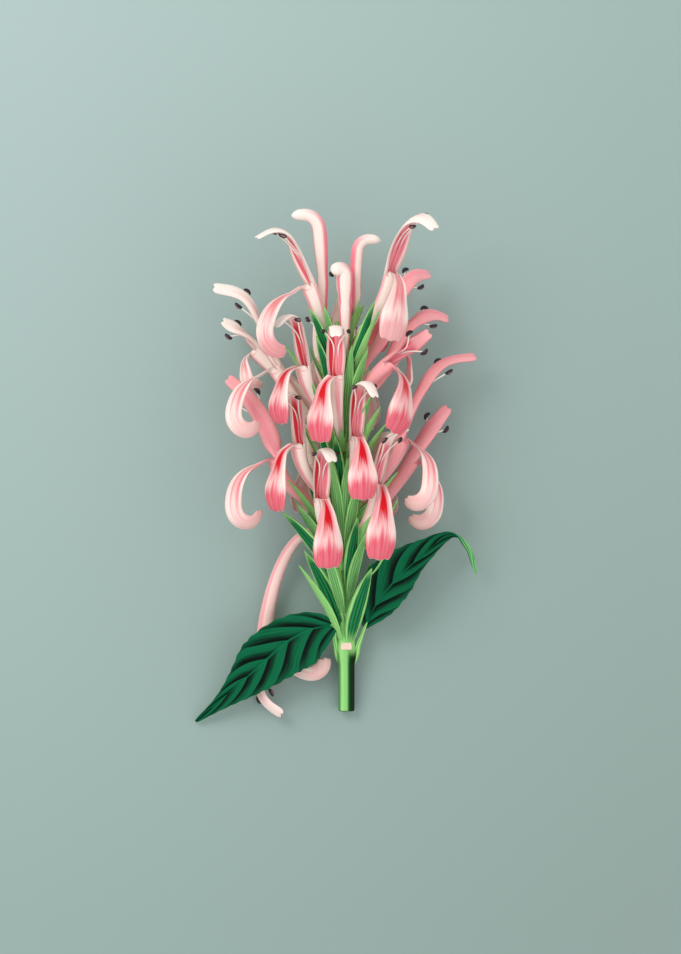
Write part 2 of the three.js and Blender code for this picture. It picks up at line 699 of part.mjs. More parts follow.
function bracts() {
  const draw = seeded(5);
  const { lerp } = THREE.MathUtils;
  const spots = [...FLOWERS, ...BUDS].flatMap(flowerSpots).concat(LEAVES.flatMap(leafSpots));
  const chosen = frontBracts(spots);
  for (let pair = 0; pair < PAIRS; pair++) {
    const height = pair / (PAIRS - 1);
    for (const middle of [115, 245]) {
      const places = Array.from({ length: BRACT_TRIES }, () => {
        const angle = middle + draw(-40, 40);
        const y = PAIR_FIRST + PAIR_STEP * pair + draw(-4, 4);
        const pressed = Math.cos(radians(angle)) < -0.1 ? PRESSED : 1;
        const lean = pressed * (lerp(...BRACT_LEAN, height) + draw(-8, 8));
        const bract = { y, angle, lean, length: lerp(...BRACT_LENGTH, height) + draw(-2, 2) };
        return { bract, crossed: crossing(bract, spots) };
      });
      chosen.push(leastCrossed(places));
    }
  }
  return chosen;
}

// Leaves: the midrib passes through points, the blade's two halves have their own widths,
// and the blade rolls over along its length
const LEAF_COLUMNS = [-1, -0.55, 0, 0.55, 1];
const LEAF_FOLD = 0.22;        // how far the edges stand over the midrib, as a share of the width
const PETIOLE = 1.3;

const LEAVES = [
  {
    name: 'left_leaf',
    petiole: [[-4, -1.5, 8], [-5, 3, 9.5], [-5.8, 8, 12], [-4.6, 12.5, 14]],
    midrib: [
      [-4.6, 12.5, 14], [-16, 10.5, 15.5], [-25.8, 5.3, 15.3],
      [-35.6, -3.5, 13.6], [-52, -18, 7.6], [-64.6, -29, 3],
    ],
    left: [
      [0, 1.5], [0.05, 6.8], [0.1, 10.2], [0.16, 12.6], [0.31, 13.6], [0.48, 10.8], [0.65, 7.5],
      [0.78, 4.6], [1, 0.5],
    ],
    right: [
      [0, 0.8], [0.05, 4.1], [0.1, 6.2], [0.16, 8.1], [0.31, 10.9], [0.48, 11.6], [0.65, 6.4],
      [0.78, 3], [1, 0.5],
    ],
    roll: [[0, -8], [1, 0]],
  },
  {
    name: 'right_leaf',
    petiole: [[3.4, -0.5, 8], [4.4, 4, 9], [5.8, 7.5, 10.5], [7, 11, 12]],
    midrib: [
      [7, 11, 12], [12, 21, 15], [21, 32, 17], [32, 42, 18.5],
      [44.5, 50.5, 18], [50.6, 45.5, 14], [54.2, 34, 8],
    ],
    left: [[0, 0.8], [0.1, 7], [0.3, 12], [0.5, 7.5], [0.68, 2.6], [0.8, 2.2], [0.9, 1.7], [1, 0.5]],
    right: [[0, 0.8], [0.1, 6], [0.3, 8], [0.5, 3.8], [0.68, 2.2], [0.8, 2.2], [0.9, 1.7], [1, 0.5]],
    roll: [[0, 0], [0.62, 0], [0.78, 110], [1, 140]],
  },
];
const LEAF_STATIONS = [0, 0.08, 0.18, 0.3, 0.42, 0.54, 0.66, 0.78, 0.89, 1];

function vectors(points) {
  return points.map((p) => new THREE.Vector3(...p));
}

function leafSolid(leaf, growth = 0) {
  const midrib = new THREE.CatmullRomCurve3(vectors(leaf.midrib));
  const rows = LEAF_STATIONS.map((v) => {
    const frame = frameAt(midrib.getPointAt(v), midrib.getTangentAt(v), new THREE.Vector3(0, 0, 1));
    const roll = radians(along(leaf.roll, v));
    const side = frame.side.clone().applyAxisAngle(frame.tangent, roll);
    const out = frame.out.clone().applyAxisAngle(frame.tangent, roll);
    return LEAF_COLUMNS.map((column) => {
      const half = along(column < 0 ? leaf.left : leaf.right, v) + growth;
      return frame.point.clone().addScaledVector(side, -column * half)
        .addScaledVector(out, Math.abs(column) * half * LEAF_FOLD);
    });
  });
  const stalk = new THREE.CatmullRomCurve3(vectors(leaf.petiole));
  const frames = curveFrames(stalk, new THREE.Vector3(0, 0, 1), [0, 0.33, 0.66, 1]);
  frames[0].point.addScaledVector(frames[0].tangent, -growth);
  const petiole = loft(frames.map((frame) => ring(frame, PETIOLE + growth, PETIOLE + growth, 6)));
  return solidOf(sheetGeometry(rows, BLADE + 2 * growth)).add(solidOf(petiole));
}

// What the green parts keep clear of: a plug round the foot of each tube, and the flower itself, fatter
function clearanceSolid(flower) {
  const growth = CLEARANCE + 0.15;
  const tube = tubeFrames(flower, TUBE_STATIONS);
  const foot = { ...tube[0], point: tube[0].point.clone().addScaledVector(tube[0].tangent, -CLEARANCE) };
  const rings = [foot, ...tube].map((frame, i) => {
    const radius = along(TUBE_RADIUS, TUBE_STATIONS[Math.max(0, i - 1)]) + PETAL / 2 + growth + 0.15;
    return ring(frame, radius, radius, RING);
  });
  const plug = solidOf(loft(rings));
  return plug.add(flower.lower ? openFlower(flower, growth) : budSolid(flower, growth));
}

// Everything below the surface goes, so that a piece rests on a small flat spot
const UNDERGROUND = new THREE.BoxGeometry(400, 600, 100).translate(0, 50, SURFACE - 50);

function restingFlat(solid) {
  return solid.subtract(solidOf(UNDERGROUND));
}

function biggestBody(solid) {
  const welded = solidOf(geometryOf(solid));
  return welded.decompose().reduce((a, b) => (a.volume() > b.volume() ? a : b));
}

// The scar of a fallen leaf, a low round boss on the joint's upper side
const SCAR = { y: 3.2, width: 4.4, length: 3, height: 4.7 };

function scarSolid() {
  const boss = new THREE.CylinderGeometry(SCAR.width / 2, SCAR.width / 2, SCAR.height, 8);
  boss.rotateX(Math.PI / 2);
  boss.scale(1, SCAR.length / SCAR.width, 1);
  const { x, y, z } = stalkPoint(SCAR.y);
  boss.translate(x, y, z + SCAR.height / 2);
  return solidOf(boss);
}

function greenSolid() {
  let crowd = clearanceSolid(FLOWERS[0]);
  for (const flower of [...FLOWERS.slice(1), ...BUDS]) crowd = crowd.add(clearanceSolid(flower));
  for (const leaf of LEAVES) crowd = crowd.add(leafSolid(leaf, CLEARANCE + 0.1));
  let green = stalkSolid().add(scarSolid());
  for (const bract of bracts()) green = green.add(bractSolid(bract));
  return biggestBody(biggestBody(green.subtract(crowd)));
}

const plume = new THREE.Group();

function addPiece(name, solid, color, roughness) {
  const geometry = geometryOf(restingFlat(solid));
  const mesh = new THREE.Mesh(geometry, new THREE.MeshStandardMaterial({ color, roughness, metalness: 0 }));
  mesh.name = name;
  plume.add(mesh);
}

addPiece('stem', greenSolid(), 0x8fc86a, 0.6);
for (const leaf of LEAVES) addPiece(leaf.name, leafSolid(leaf), 0x0c7a4b, 0.5);
for (const flower of FLOWERS) addPiece(flower.name, openFlower(flower), 0xf3a9ae, 0.6);
for (const bud of BUDS) addPiece(bud.name, budSolid(bud), 0xf7d6cc, 0.6);

// The part's own frame: the middle of its footprint, on the surface
const box = new THREE.Box3().setFromObject(plume);
const middle = box.getCenter(new THREE.Vector3()).setZ(box.min.z);
for (const piece of plume.children) piece.geometry.translate(-middle.x, -middle.y, -middle.z);

export default plume;
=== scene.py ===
# %% [markdown]
# # A cut stem of plume flower
# This lesson dresses a plain solid model of a cut flowering stem. The solids hold the right sizes and
# places, but they are coarse. Each flower, bud, leaf and the green stem is modelled again here, fine
# enough to look at closely, and takes the place of its solid.

# %% Load the solid model
import json
import math
import bpy
import numpy as np
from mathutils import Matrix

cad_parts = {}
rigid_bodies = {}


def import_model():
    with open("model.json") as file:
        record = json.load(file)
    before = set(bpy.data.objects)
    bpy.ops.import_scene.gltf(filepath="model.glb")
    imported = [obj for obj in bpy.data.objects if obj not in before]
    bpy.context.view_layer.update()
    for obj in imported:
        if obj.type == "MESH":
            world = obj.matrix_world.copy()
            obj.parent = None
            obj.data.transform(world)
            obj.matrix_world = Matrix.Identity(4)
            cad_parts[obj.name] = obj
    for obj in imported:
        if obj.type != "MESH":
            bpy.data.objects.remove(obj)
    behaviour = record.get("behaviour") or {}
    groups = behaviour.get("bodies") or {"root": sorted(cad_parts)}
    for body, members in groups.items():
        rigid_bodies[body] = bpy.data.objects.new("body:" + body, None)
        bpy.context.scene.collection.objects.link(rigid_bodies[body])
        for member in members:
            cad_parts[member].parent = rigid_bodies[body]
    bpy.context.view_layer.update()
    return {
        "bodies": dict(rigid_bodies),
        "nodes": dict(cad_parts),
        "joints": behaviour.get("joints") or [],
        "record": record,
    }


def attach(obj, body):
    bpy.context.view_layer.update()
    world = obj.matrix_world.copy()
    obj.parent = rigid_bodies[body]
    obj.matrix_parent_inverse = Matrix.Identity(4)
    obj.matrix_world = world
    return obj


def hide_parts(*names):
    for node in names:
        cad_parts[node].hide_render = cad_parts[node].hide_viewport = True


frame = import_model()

print("solid pieces:", len(frame["nodes"]))

# %% [markdown]
# ## Camera, floor and light
# A cut stem lies down, so the camera looks straight down on it, from far away through a long lens.
# That keeps the near flowers from looking larger than the far ones. A wide lamp on the left gives each
# petal a light and a dark side, and a second, weaker one fills the shadows.

# %% Camera, floor and light
MM = 0.001
PICTURE_MIDDLE = (1.75, -3.99)        # mm, the point of the floor that the camera looks at
PICTURE_HEIGHT = 400.7                # mm of the plant that the picture's height shows
CAMERA_HEIGHT = 3000                  # mm
PLANT_HEIGHT = 28                     # mm, about the middle of the plant


def put_camera():
    data = bpy.data.cameras.new("top_camera")
    camera = bpy.data.objects.new("top_camera", data)
    bpy.context.scene.collection.objects.link(camera)
    camera.location = (PICTURE_MIDDLE[0] * MM, PICTURE_MIDDLE[1] * MM, CAMERA_HEIGHT * MM)
    data.sensor_width = 36
    data.lens = 36 * (CAMERA_HEIGHT - PLANT_HEIGHT) / PICTURE_HEIGHT
    data.clip_start = 0.1
    data.clip_end = 20
    bpy.context.scene.camera = camera


def put_lamp(name, place, size, power, aim=(0, 0, 0.02)):
    data = bpy.data.lights.new(name, "AREA")
    data.shape = "DISK"
    data.size = size
    data.energy = power
    lamp = bpy.data.objects.new(name, data)
    bpy.context.scene.collection.objects.link(lamp)
    lamp.location = place
    there = np.array(aim) - np.array(place)
    lamp.rotation_euler = (math.acos(-there[2] / np.linalg.norm(there)), 0,
                           math.atan2(there[1], there[0]) + math.pi / 2 + math.pi)


put_camera()
put_lamp("key_lamp", (-0.55, 0.5, 0.8), size=0.6, power=4.6)
put_lamp("fill_lamp", (0.9, -0.5, 1.0), size=1.2, power=2.6)
bpy.ops.object.select_all(action="DESELECT")
bpy.ops.mesh.primitive_plane_add(size=8, location=(0, 0, 0))
floor = bpy.context.object
floor.name = "floor"
sky = bpy.data.worlds.new("soft_room")
bpy.context.scene.world = sky
sky.use_nodes = True
sky.node_tree.nodes["Background"].inputs["Color"].default_value = (0.93, 0.97, 1, 1)
sky.node_tree.nodes["Background"].inputs["Strength"].default_value = 0.86
bpy.context.scene.view_settings.view_transform = "Standard"
print("camera", CAMERA_HEIGHT, "mm over the floor, lamps:", len(bpy.data.lights))

# %% [markdown]
# ## Shader maths as sums
# A finish is built from small sums on masks. A Wire holds a node's output, and each sign on it adds one
# Math node, so that a mask can be written as it would be on paper. Finish makes the material, sets the
# shader's own values, and adds any other node through one method. Colours are laid in coats, as paint is.

# %% Wires and finishes


def sign(operation, swapped=False):
    def method(wire, other=0):
        return wire.finish.sum(operation, *((other, wire) if swapped else (wire, other)))
    return method


class Wire:
    def __init__(self, finish, socket):
        self.finish, self.socket = finish, socket

    __add__ = __radd__ = sign("ADD")
    __mul__ = __rmul__ = sign("MULTIPLY")
    __sub__, __rsub__ = sign("SUBTRACT"), sign("SUBTRACT", swapped=True)
    __truediv__ = sign("DIVIDE")
    __abs__ = sign("ABSOLUTE")
    over = sign("GREATER_THAN")
    most = sign("MAXIMUM")
    floor = sign("FLOOR")
    cosine = sign("COSINE")

    def rise(self, low, high):
        return self.finish.node("ShaderNodeMapRange", {"interpolation_type": "SMOOTHSTEP"},
                                {"Value": self, "From Min": low, "From Max": high})


class Finish:
    def __init__(self, name, **values):
        self.material = bpy.data.materials.new(name)
        self.material.use_nodes = True
        self.tree = self.material.node_tree
        self.shader = self.tree.nodes["Principled BSDF"]
        for socket, value in values.items():
            self.shader.inputs[socket.replace("_", " ")].default_value = value

    def node(self, kind, settings=None, inputs=None, output=0):
        made = self.tree.nodes.new(kind)
        for key, value in (settings or {}).items():
            setattr(made, key, value)
        for key, value in (inputs or {}).items():
            if isinstance(value, Wire):
                self.tree.links.new(value.socket, made.inputs[key])
            else:
                made.inputs[key].default_value = value
        return Wire(self, made.outputs[output])

    def sum(self, operation, *values):
        return self.node("ShaderNodeMath", {"operation": operation}, dict(enumerate(values)))

    def mix(self, share, first, second):
        return self.node("ShaderNodeMix", {"data_type": "RGBA"}, {0: share, 6: first, 7: second}, 2)

    def coat(self, share, shade):
        """Lay one more colour over the base colour, as strong as share."""
        self.now = self.mix(share, self.now, shade)
        self.feed("Base Color", self.now)

    def clouds(self, place, scale=1.0, detail=3.0):
        if isinstance(place, tuple):
            place = self.node("ShaderNodeCombineXYZ", {}, dict(zip("XY", place)))
        return self.node("ShaderNodeTexNoise", {}, {"Vector": place, "Scale": scale, "Detail": detail})

    def parts(self, vector):
        made = self.node("ShaderNodeSeparateXYZ", {}, {0: vector})
        return [Wire(self, made.socket.node.outputs[i]) for i in range(3)]

    def across_and_along(self):
        made = self.node("ShaderNodeUVMap", {"uv_map": "grain"})
        return self.parts(made)[:2]

    def amount(self, name):
        made = self.node("ShaderNodeAttribute", {"attribute_name": name})
        return Wire(self, made.socket.node.outputs["Fac"])

    def position(self):
        made = self.node("ShaderNodeTexCoord")
        return Wire(self, made.socket.node.outputs["Object"])

    def feed(self, socket, wire):
        self.tree.links.new(wire.socket, self.shader.inputs[socket])

    def bump(self, height, strength, distance):
        self.feed("Normal", self.node(
            "ShaderNodeBump", {}, {"Strength": strength, "Distance": distance, "Height": height}))


def colour(red, green, blue):
    def linear(value):
        value = value / 255
        return value / 12.92 if value <= 0.04045 else ((value + 0.055) / 1.055) ** 2.4
    return (linear(red), linear(green), linear(blue), 1.0)


# %% [markdown]
# ## The floor's finish
# The floor is plain, pale and matt, so that nothing draws the eye from the plant. Its colour is painted a
# little lighter towards its upper left and darker towards its lower right: painted light falloff, as a
# large sheet of paper is lighter near a window.

# %% Floor finish
FLOOR_LEFT, FLOOR_TOP = -0.1287, 0.1838     # m, the corner of the floor that the picture shows
FLOOR_WIDTH, FLOOR_LENGTH = 0.2604, 0.3781  # m, the part of it that the colours run over
floor_finish = Finish("pale_floor", Roughness=0.9)
floor_x, floor_y, _ = floor_finish.parts(floor_finish.position())
to_right = (floor_x - FLOOR_LEFT) / FLOOR_WIDTH
down = (FLOOR_TOP - floor_y) / FLOOR_LENGTH
# Painted light: the floor colour runs from lighter at the upper left to darker at the lower right, in place
# of lamp falloff.
floor_top = floor_finish.mix(to_right, colour(165, 183, 178), colour(153, 173, 166))
floor_low = floor_finish.mix(to_right, colour(148, 168, 161), colour(141, 158, 151))
floor_finish.feed("Base Color", floor_finish.mix(down, floor_top, floor_low))
floor.data.materials.append(floor_finish.material)
print("floor finish:", len(floor_finish.tree.nodes), "nodes")

# %% [markdown]
# ## Frames along the plant
# Every piece follows a curve: the stalk, a flower's tube, a lip that arches over, a leaf's midrib. A
# frame is a point of such a curve with three directions: along the curve, out (the way that the piece
# faces) and to the side. All sizes are in millimetres from the joint where the two leaves grow, with y up
# the plant and z up from the floor, as the solids were drawn.

# %% Points, directions and frames
JOINT = np.array([4.870, -78.746, -0.9])     # mm, where the leaf joint lies in the solid model
CUT_END_Y = -23.9
STALK_TOP_Y = 140
CUT_END_HEIGHT = 2.9
STALK_SLOPE = 0.19
STEPS = 40
UP = np.array([0, 0, 1.0])


def stalk_point(y):
    return np.array([-0.6 - 0.025 * max(0, y), y, CUT_END_HEIGHT + STALK_SLOPE * (y - CUT_END_Y)])


def cos_sin(degrees):
    return math.cos(math.radians(degrees)), math.sin(math.radians(degrees))


def unit(vector):
    vector = np.asarray(vector, float)
    return vector / np.linalg.norm(vector)


class Frame:
    def __init__(self, point, tangent, facing):
        self.point, self.tangent = np.asarray(point, float), unit(tangent)
        self.out = unit(facing - self.tangent * np.dot(facing, self.tangent))
        self.side = np.cross(self.out, self.tangent)

    def at(self, side, out, along=0.0):
        return self.point + self.side * side + self.out * out + self.tangent * along

    def roll(self, degrees):
        self.out, self.side = (turned(way, self.tangent, degrees) for way in (self.out, self.side))
        return self


def along(table, v):
    return float(np.interp(v, *zip(*table)))


def softly(table, v):
    """A smooth curve through a table's points."""
    places, values = (np.array(column, float) for column in zip(*table))
    slopes = np.gradient(values, places)
    i = int(np.clip(np.searchsorted(places, v) - 1, 0, len(places) - 2))
    step = places[i + 1] - places[i]
    s = np.clip((v - places[i]) / step, 0, 1)
    return ((1 + 2 * s) * (1 - s) ** 2 * values[i] + s * (1 - s) ** 2 * step * slopes[i]
            + s * s * (3 - 2 * s) * values[i + 1] + s * s * (s - 1) * step * slopes[i + 1])


def rise(value, low, high):
    s = np.clip((value - low) / (high - low), 0, 1)
    return s * s * (3 - 2 * s)


def turning_frames(start, length, turn, stations):
    """Frames along a line that starts in a frame and turns towards its out side by turn(v) degrees."""
    ahead = [start.tangent * c + start.out * s
             for c, s in (cos_sin(turn(i / STEPS)) for i in range(STEPS + 1))]
    points = [start.point]
    for i in range(STEPS):
        points.append(points[-1] + ahead[i] * length / STEPS)
    points = np.array(points)
    frames = []
    for v in stations:
        c, s = cos_sin(turn(v))
        place = [np.interp(v * STEPS, range(STEPS + 1), points[:, k]) for k in range(3)]
        frames.append(Frame(place, start.tangent * c + start.out * s, start.out * c - start.tangent * s))
    return frames


def carried_frames(points_and_ways, facing):
    """Frames whose facing is carried from the last point back to the first, so that they never twist."""
    frames = []
    for point, way in reversed(points_and_ways):
        frames.insert(0, Frame(point, way, facing))
        facing = frames[0].out
    return frames


def turned(vector, axis, degrees):
    c, s = cos_sin(degrees)
    return vector * c + np.cross(axis, vector) * s + axis * np.dot(axis, vector) * (1 - c)


def smooth_path(points, stations):
    """Points and directions on one smooth curve through the given points."""
    points = np.array(points, float)
    lengths = np.concatenate([[0], np.cumsum(np.linalg.norm(np.diff(points, axis=0), axis=1))])
    fine = np.linspace(0, lengths[-1], 200)
    curve = np.stack([[softly(list(zip(lengths, points[:, k])), s) for s in fine] for k in range(3)], 1)
    real = np.concatenate([[0], np.cumsum(np.linalg.norm(np.diff(curve, axis=0), axis=1))])
    real = real / real[-1]
    ways = np.gradient(curve, axis=0)
    return ([np.array([np.interp(s, real, curve[:, k]) for k in range(3)]) for s in stations],
            [unit([np.interp(s, real, ways[:, k]) for k in range(3)]) for s in stations])


# %% [markdown]
# ## The flowers, one by one
# Each flower has its own place and pose. `throat` is where the tube opens: across, up the plant, and
# above the stalk. `root` is where the tube leaves the stalk, `grows` the way that it points at the
# throat, and `opens` the way that the mouth looks. `upper` is the upper lip's length, steady bend and
# hook. `lower` is the lower lip's length, the angle it hangs at, the curl of its end, its lean to one
# side, the spread of its arch and the angle it starts at. `roll` is how far the two lips roll their
# faces to one side. `strap` marks a flower whose lower lip is a narrow strap, `broad` one with a wide
# upper lip, and `early` one whose upper lip rolls at once. `look` is for the finish: how red its throat
# is, how strong its stripes are, and how pink the whole flower is.

# %% Table of flowers and buds
POSE = ("throat", "root", "grows", "opens", "upper", "lower", "look")


def pose(*values, **more):
    return dict(zip(POSE, values), **more)


FLOWERS = {
    "top_left": pose((-16, 153.5, 7), 122, (-0.4, 0.9, 0.1), (-0.9, 0, 0.35), (38, -4, 97),
        (46, 144, 120, 12, 0.86, 66), (0.35, 0.6, 0.2), roll=(-15, -48), strap=True, broad=True),
    "top_right": pose((18.2, 158.5, 8), 123, (0.24, 0.95, 0.1), (0.75, 0, 0.65), (39, 24, 92),
        (33, 170, 10, -22), (0.3, 1, 0.35), roll=(40, 0), broad=True),
    "left": pose((-18.6, 119.6, 11.4), 92, (-0.15, 0.95, 0.15), (-0.75, 0, 0.65), (33, 0, 120),
        (31, 156, 40, -4, 0.5), (0.9, 0.6, 0.25)),
    "middle": pose((-5, 115.6, 14), 86, (0, 1, 0.12), (0, 0, 1), (31, 2, 120), (33, 170, 20, -34),
        (1, 0.8, 0.4)),
    "right": pose((16.5, 121.5, 10), 90, (0.8, 0.55, 0.2), (0.7, -0.6, 0.5), (22, -12, 8),
        (33.5, 128, 26, 0, 0.52), (0.8, 0.6, 0.8), roll=(-65, 25)),
    "lower_middle": pose((3.8, 90.3, 14), 62, (0.03, 1, 0.12), (0.55, 0, 0.8), (35, 6, 130),
        (31, 170, 14, -20), (1, 0.8, 0.4)),
    "lower_left": pose((-20.8, 87, 9), 58, (-0.05, 1, 0.1), (-0.7, 0, 0.7), (33, 4, 125), (34, 165, 30, -5),
        (1, 0.6, 0.3)),
    "front": pose((-11, 64.3, 13.4), 36, (0.02, 1, 0.15), (0.35, 0, 0.9), (32, 4, 125), (34, 172, 10, -6),
        (1, 0.8, 0.4)),
    "lower_right": pose((12.6, 70.1, 12), 42, (0.1, 1, 0.1), (0.75, 0, 0.6), (31, 24, 46),
        (37, 174, 8, -36), (1, 0.8, 0.5)),
    "side_left_high": pose((-29.5, 119, -3), 84, (-0.52, 0.85, 0.05), (-0.9, 0, 0.2), (48, -34, 80),
        (47, 144, 170, 14, 0.8, 56), (0.1, 1, 0.2), roll=(-65, -55), strap=True),
    "side_left_mid": pose((-38.5, 127.6, -16.6), 95, (-0.65, 0.75, 0), (-0.85, -0.2, 0.15), (19, 6, 16),
        (21, 148, 130, 0, 0.48), (0.1, 0.9, 0.2), roll=(-65, -40), strap=True),
    "side_left_low": pose((-29.8, 80.4, 2), 53, (-0.15, 0.98, 0.05), (-0.95, 0, -0.1), (42, 44, 0),
        (50, 180, 170, 34, 0.78, 64), (0.1, 1, 0.75), roll=(-75, -55), strap=True, early=True),
    "side_right_1": pose((18.5, 141.2, -8), 112, (0.3, 0.93, -0.1), (0.75, 0, -0.65), (29, 28, 46),
        (18, 165, 60, 80), (0.2, 0.5, 0.8), roll=(50, 0)),
    "side_right_2": pose((20.6, 128, -7.4), 97.5, (0.4, 0.9, -0.1), (0.85, -0.1, -0.45), (30, 54, 34),
        (22, 160, 90, -20), (0.2, 0.5, 0.8), roll=(50, 0)),
    "side_right_3": pose((22.7, 89.5, -0.5), 57, (0.3, 0.95, 0), (0.9, 0, -0.3), (52, 24, 46),
        (42, 165, 140, -50, 0.66, 70), (0.1, 1, 0.8), roll=(30, 55), strap=True),
    "side_right_4": pose((26.9, 81.5, -10), 44, (0.5, 0.85, 0), (0.75, 0, -0.6), (27, 6, 8),
        (39, 158, 140, -60, 0.66, 70), (0.1, 1, 0.9), roll=(40, 55), strap=True),
    "fallen": pose((-35.2, 8, -2.4), 47.5, (-0.08, -1, 0), (1, 0, 0.1), (37, 0, 60),
        (35.5, 78, 112, 0, 0.9), (0.1, 0.8, 0.6), sweep=0.46, spring=1.1, roll=(-50, -55), strap=True),
    "under_1": pose((5.4, 119.4, -16.3), 104, (0.1, 0.97, -0.15), (0.3, 0, -0.95), (27, 0, 90),
        (31, 165, 30), (1, 0.7, 0.4)),
    "under_2": pose((-11, 123.6, -16.9), 102, (-0.02, 0.97, -0.15), (-0.3, 0, -0.95), (27, 0, 90),
        (31, 165, 30), (0.9, 0.7, 0.4)),
    "under_3": pose((-2.4, 95.6, -13), 74, (0, 0.97, -0.1), (0, 0, -1), (22, 0, 90), (22, 165, 30),
        (0.9, 0.7, 0.3)),
    "under_4": pose((-14.5, 78.6, -10), 56, (-0.1, 0.97, -0.1), (-0.6, 0, -0.8), (24, 0, 90), (24, 165, 30),
        (0.9, 0.7, 0.4)),
    "under_5": pose((-1, 150, -8), 122, (-0.05, 0.97, -0.1), (-0.2, 0, -1), (16, 0, 90), (30, 165, 30),
        (1, 0.7, 0.3)),
    "under_6": pose((-1, 60, -8), 36, (0, 0.97, -0.1), (0, 0, -1), (18, 0, 90), (19, 165, 30),
        (0.9, 0.7, 0.5)),
    "under_7": pose((12.6, 75.4, -9.6), 52, (0.15, 0.97, -0.05), (0.6, 0, -0.8), (24, 0, 90), (22, 165, 30),
        (0.9, 0.7, 0.4)),
}
BUDS = {
    "left": pose((-10.6, 159, -1), 130, (-0.05, 1, 0), (-1, 0, 0.2), (35, 4, 90), girth=1.0),
    "middle": pose((-1.2, 147.5, 8), 118, (0.02, 1, 0), (-0.8, 0, 0.5), (20, 4, 110), girth=1.1),
    "right": pose((3.4, 153.3, -1), 136, (-0.03, 1, 0), (1, 0, 0), (29, 12, 90), girth=0.85),
}
print(len(FLOWERS), "flowers and", len(BUDS), "buds")

# %% [markdown]
# ## How a flower's parts run
# The tube is one smooth bend from the stalk to the throat. From there the upper lip carries on and hooks
# over at its end, and the lower lip arches out and hangs. Both lips are lines that turn by so many
# degrees at each point, so one rule serves every flower.

# %% Curves of a tube and its lips
TUBE_RADIUS = [(0, 1.5), (0.4, 1.9), (0.75, 2.5), (1, 3.1)]
UPPER_WIDTH = [(0, 3.1), (0.3, 3.8), (0.6, 3.4), (0.85, 2.5), (1, 2.2)]
BROAD_WIDTH = [(0, 3.1), (0.3, 4.9), (0.6, 4.3), (0.85, 2.8), (1, 2.3)]
UPPER_DEPTH = [(0, 3.1), (0.3, 2.4), (0.7, 1.4), (1, 0.7)]
LOWER_WIDTH = [(0, 3.1), (0.14, 2.3), (0.4, 3.7), (0.78, 6.4), (0.92, 5.8), (1, 4.8)]
STRAP_WIDTH = [(0, 3.1), (0.14, 2), (0.4, 2.8), (0.75, 3.5), (0.92, 3.4), (1, 2.9)]
LOWER_DEPTH = [(0, 3.1), (0.14, 1.1), (0.3, 0), (0.6, -1.4), (0.85, -2), (1, -1)]
BUD_RADIUS = [(0, 2.2), (0.45, 3), (0.8, 2.7), (0.93, 2.3), (1, 0.9)]
PETAL = 0.7                           # mm, a petal's thickness
THROAT = 3.1                          # mm, the tube's radius where it opens
TUBE_FOOT = 3.4                       # mm, how far out of the stalk's middle a tube starts
LIP_SPREAD = 0.42                     # share of a lower lip that its arch takes
LIP_OPENING = 30                      # degrees at which a lower lip starts


def upper_width(flower):
    return BROAD_WIDTH if flower.get("broad") else UPPER_WIDTH


def lower_width(flower):
    return STRAP_WIDTH if flower.get("strap") else LOWER_WIDTH


def throat_point(flower):
    x, y, lift = flower["throat"]
    return np.array([x, y, stalk_point(y)[2] + lift])


def throat_frame(flower):
    return Frame(throat_point(flower), unit(flower["grows"]), np.array(flower["opens"], float))


def lower_start(flower):
    throat = throat_frame(flower)
    lean = (flower["lower"] + (0, 0, 0))[3]
    return Frame(throat.point, throat.tangent, turned(throat.out, throat.tangent, lean))


def tube_curve(flower):
    throat = throat_point(flower)
    away = throat - stalk_point(flower["throat"][1])
    away[1] = 0
    away = unit(away)
    base = stalk_point(flower["root"]) + away * TUBE_FOOT
    reach = np.linalg.norm(base - throat) * flower.get("sweep", 0.34)
    rising = away * flower.get("spring", 0.5)
    rising[1] = 1
    corners = [base, base + unit(rising) * reach, throat - unit(flower["grows"]) * reach, throat]

    def point(s):
        return sum(c * k for c, k in zip(corners, (
            (1 - s) ** 3, 3 * s * (1 - s) ** 2, 3 * s * s * (1 - s), s ** 3)))
    return point


def tube_frames(flower, stations):
    point = tube_curve(flower)
    ways = [point(min(1, s + 1e-4)) - point(max(0, s - 1e-4)) for s in stations]
    return carried_frames(list(zip(map(point, stations), ways)), np.array(flower["opens"], float))


def upper_turn(flower):
    _, bend, hook = flower["upper"]
    return lambda v: bend * v + hook * rise(v, 0.5, 0.9)


def lower_turn(flower):
    lower = flower["lower"]
    _, hangs, curl, _, spread, opening = lower + (0, LIP_SPREAD, LIP_OPENING)[len(lower) - 3:]
    return lambda v: (opening + (hangs - opening) * rise(v, -0.16, spread)
                      + curl * max(0, (v - 0.62) / 0.38) ** 1.3)


def rolled(frames, stations, roll, low, high):
    for frame, v in zip(frames, stations):
        frame.roll(roll * rise(v, low, high))
    return frames


def upper_frames(flower, stations):
    frames = turning_frames(throat_frame(flower), flower["upper"][0], upper_turn(flower), stations)
    low, high = (-0.2, 0.25) if flower.get("early") else (0.3, 0.85)
    return rolled(frames, stations, flower.get("roll", (0, 0))[0], low, high)


def lower_frames(flower, stations):
    frames = turning_frames(lower_start(flower), flower["lower"][0], lower_turn(flower), stations)
    return rolled(frames, stations, flower.get("roll", (0, 0))[1], 0.1, 0.6)

# %% [markdown]
# ## Small tools for the hand work
# Each piece starts as a primitive and grows row by row in edit mode, as it would by hand. The straight
# rows are then laid along the piece's own curve in code, because a curve modifier would twist a wide lip
# by its own rule. Solidify gives the sheet its thickness and Subdivision Surface rounds it.

# %% Tools for making pieces


def only(obj):
    bpy.ops.object.select_all(action="DESELECT")
    obj.select_set(True)
    bpy.context.view_layer.objects.active = obj


def mode(kind):
    bpy.ops.object.mode_set(mode=kind)


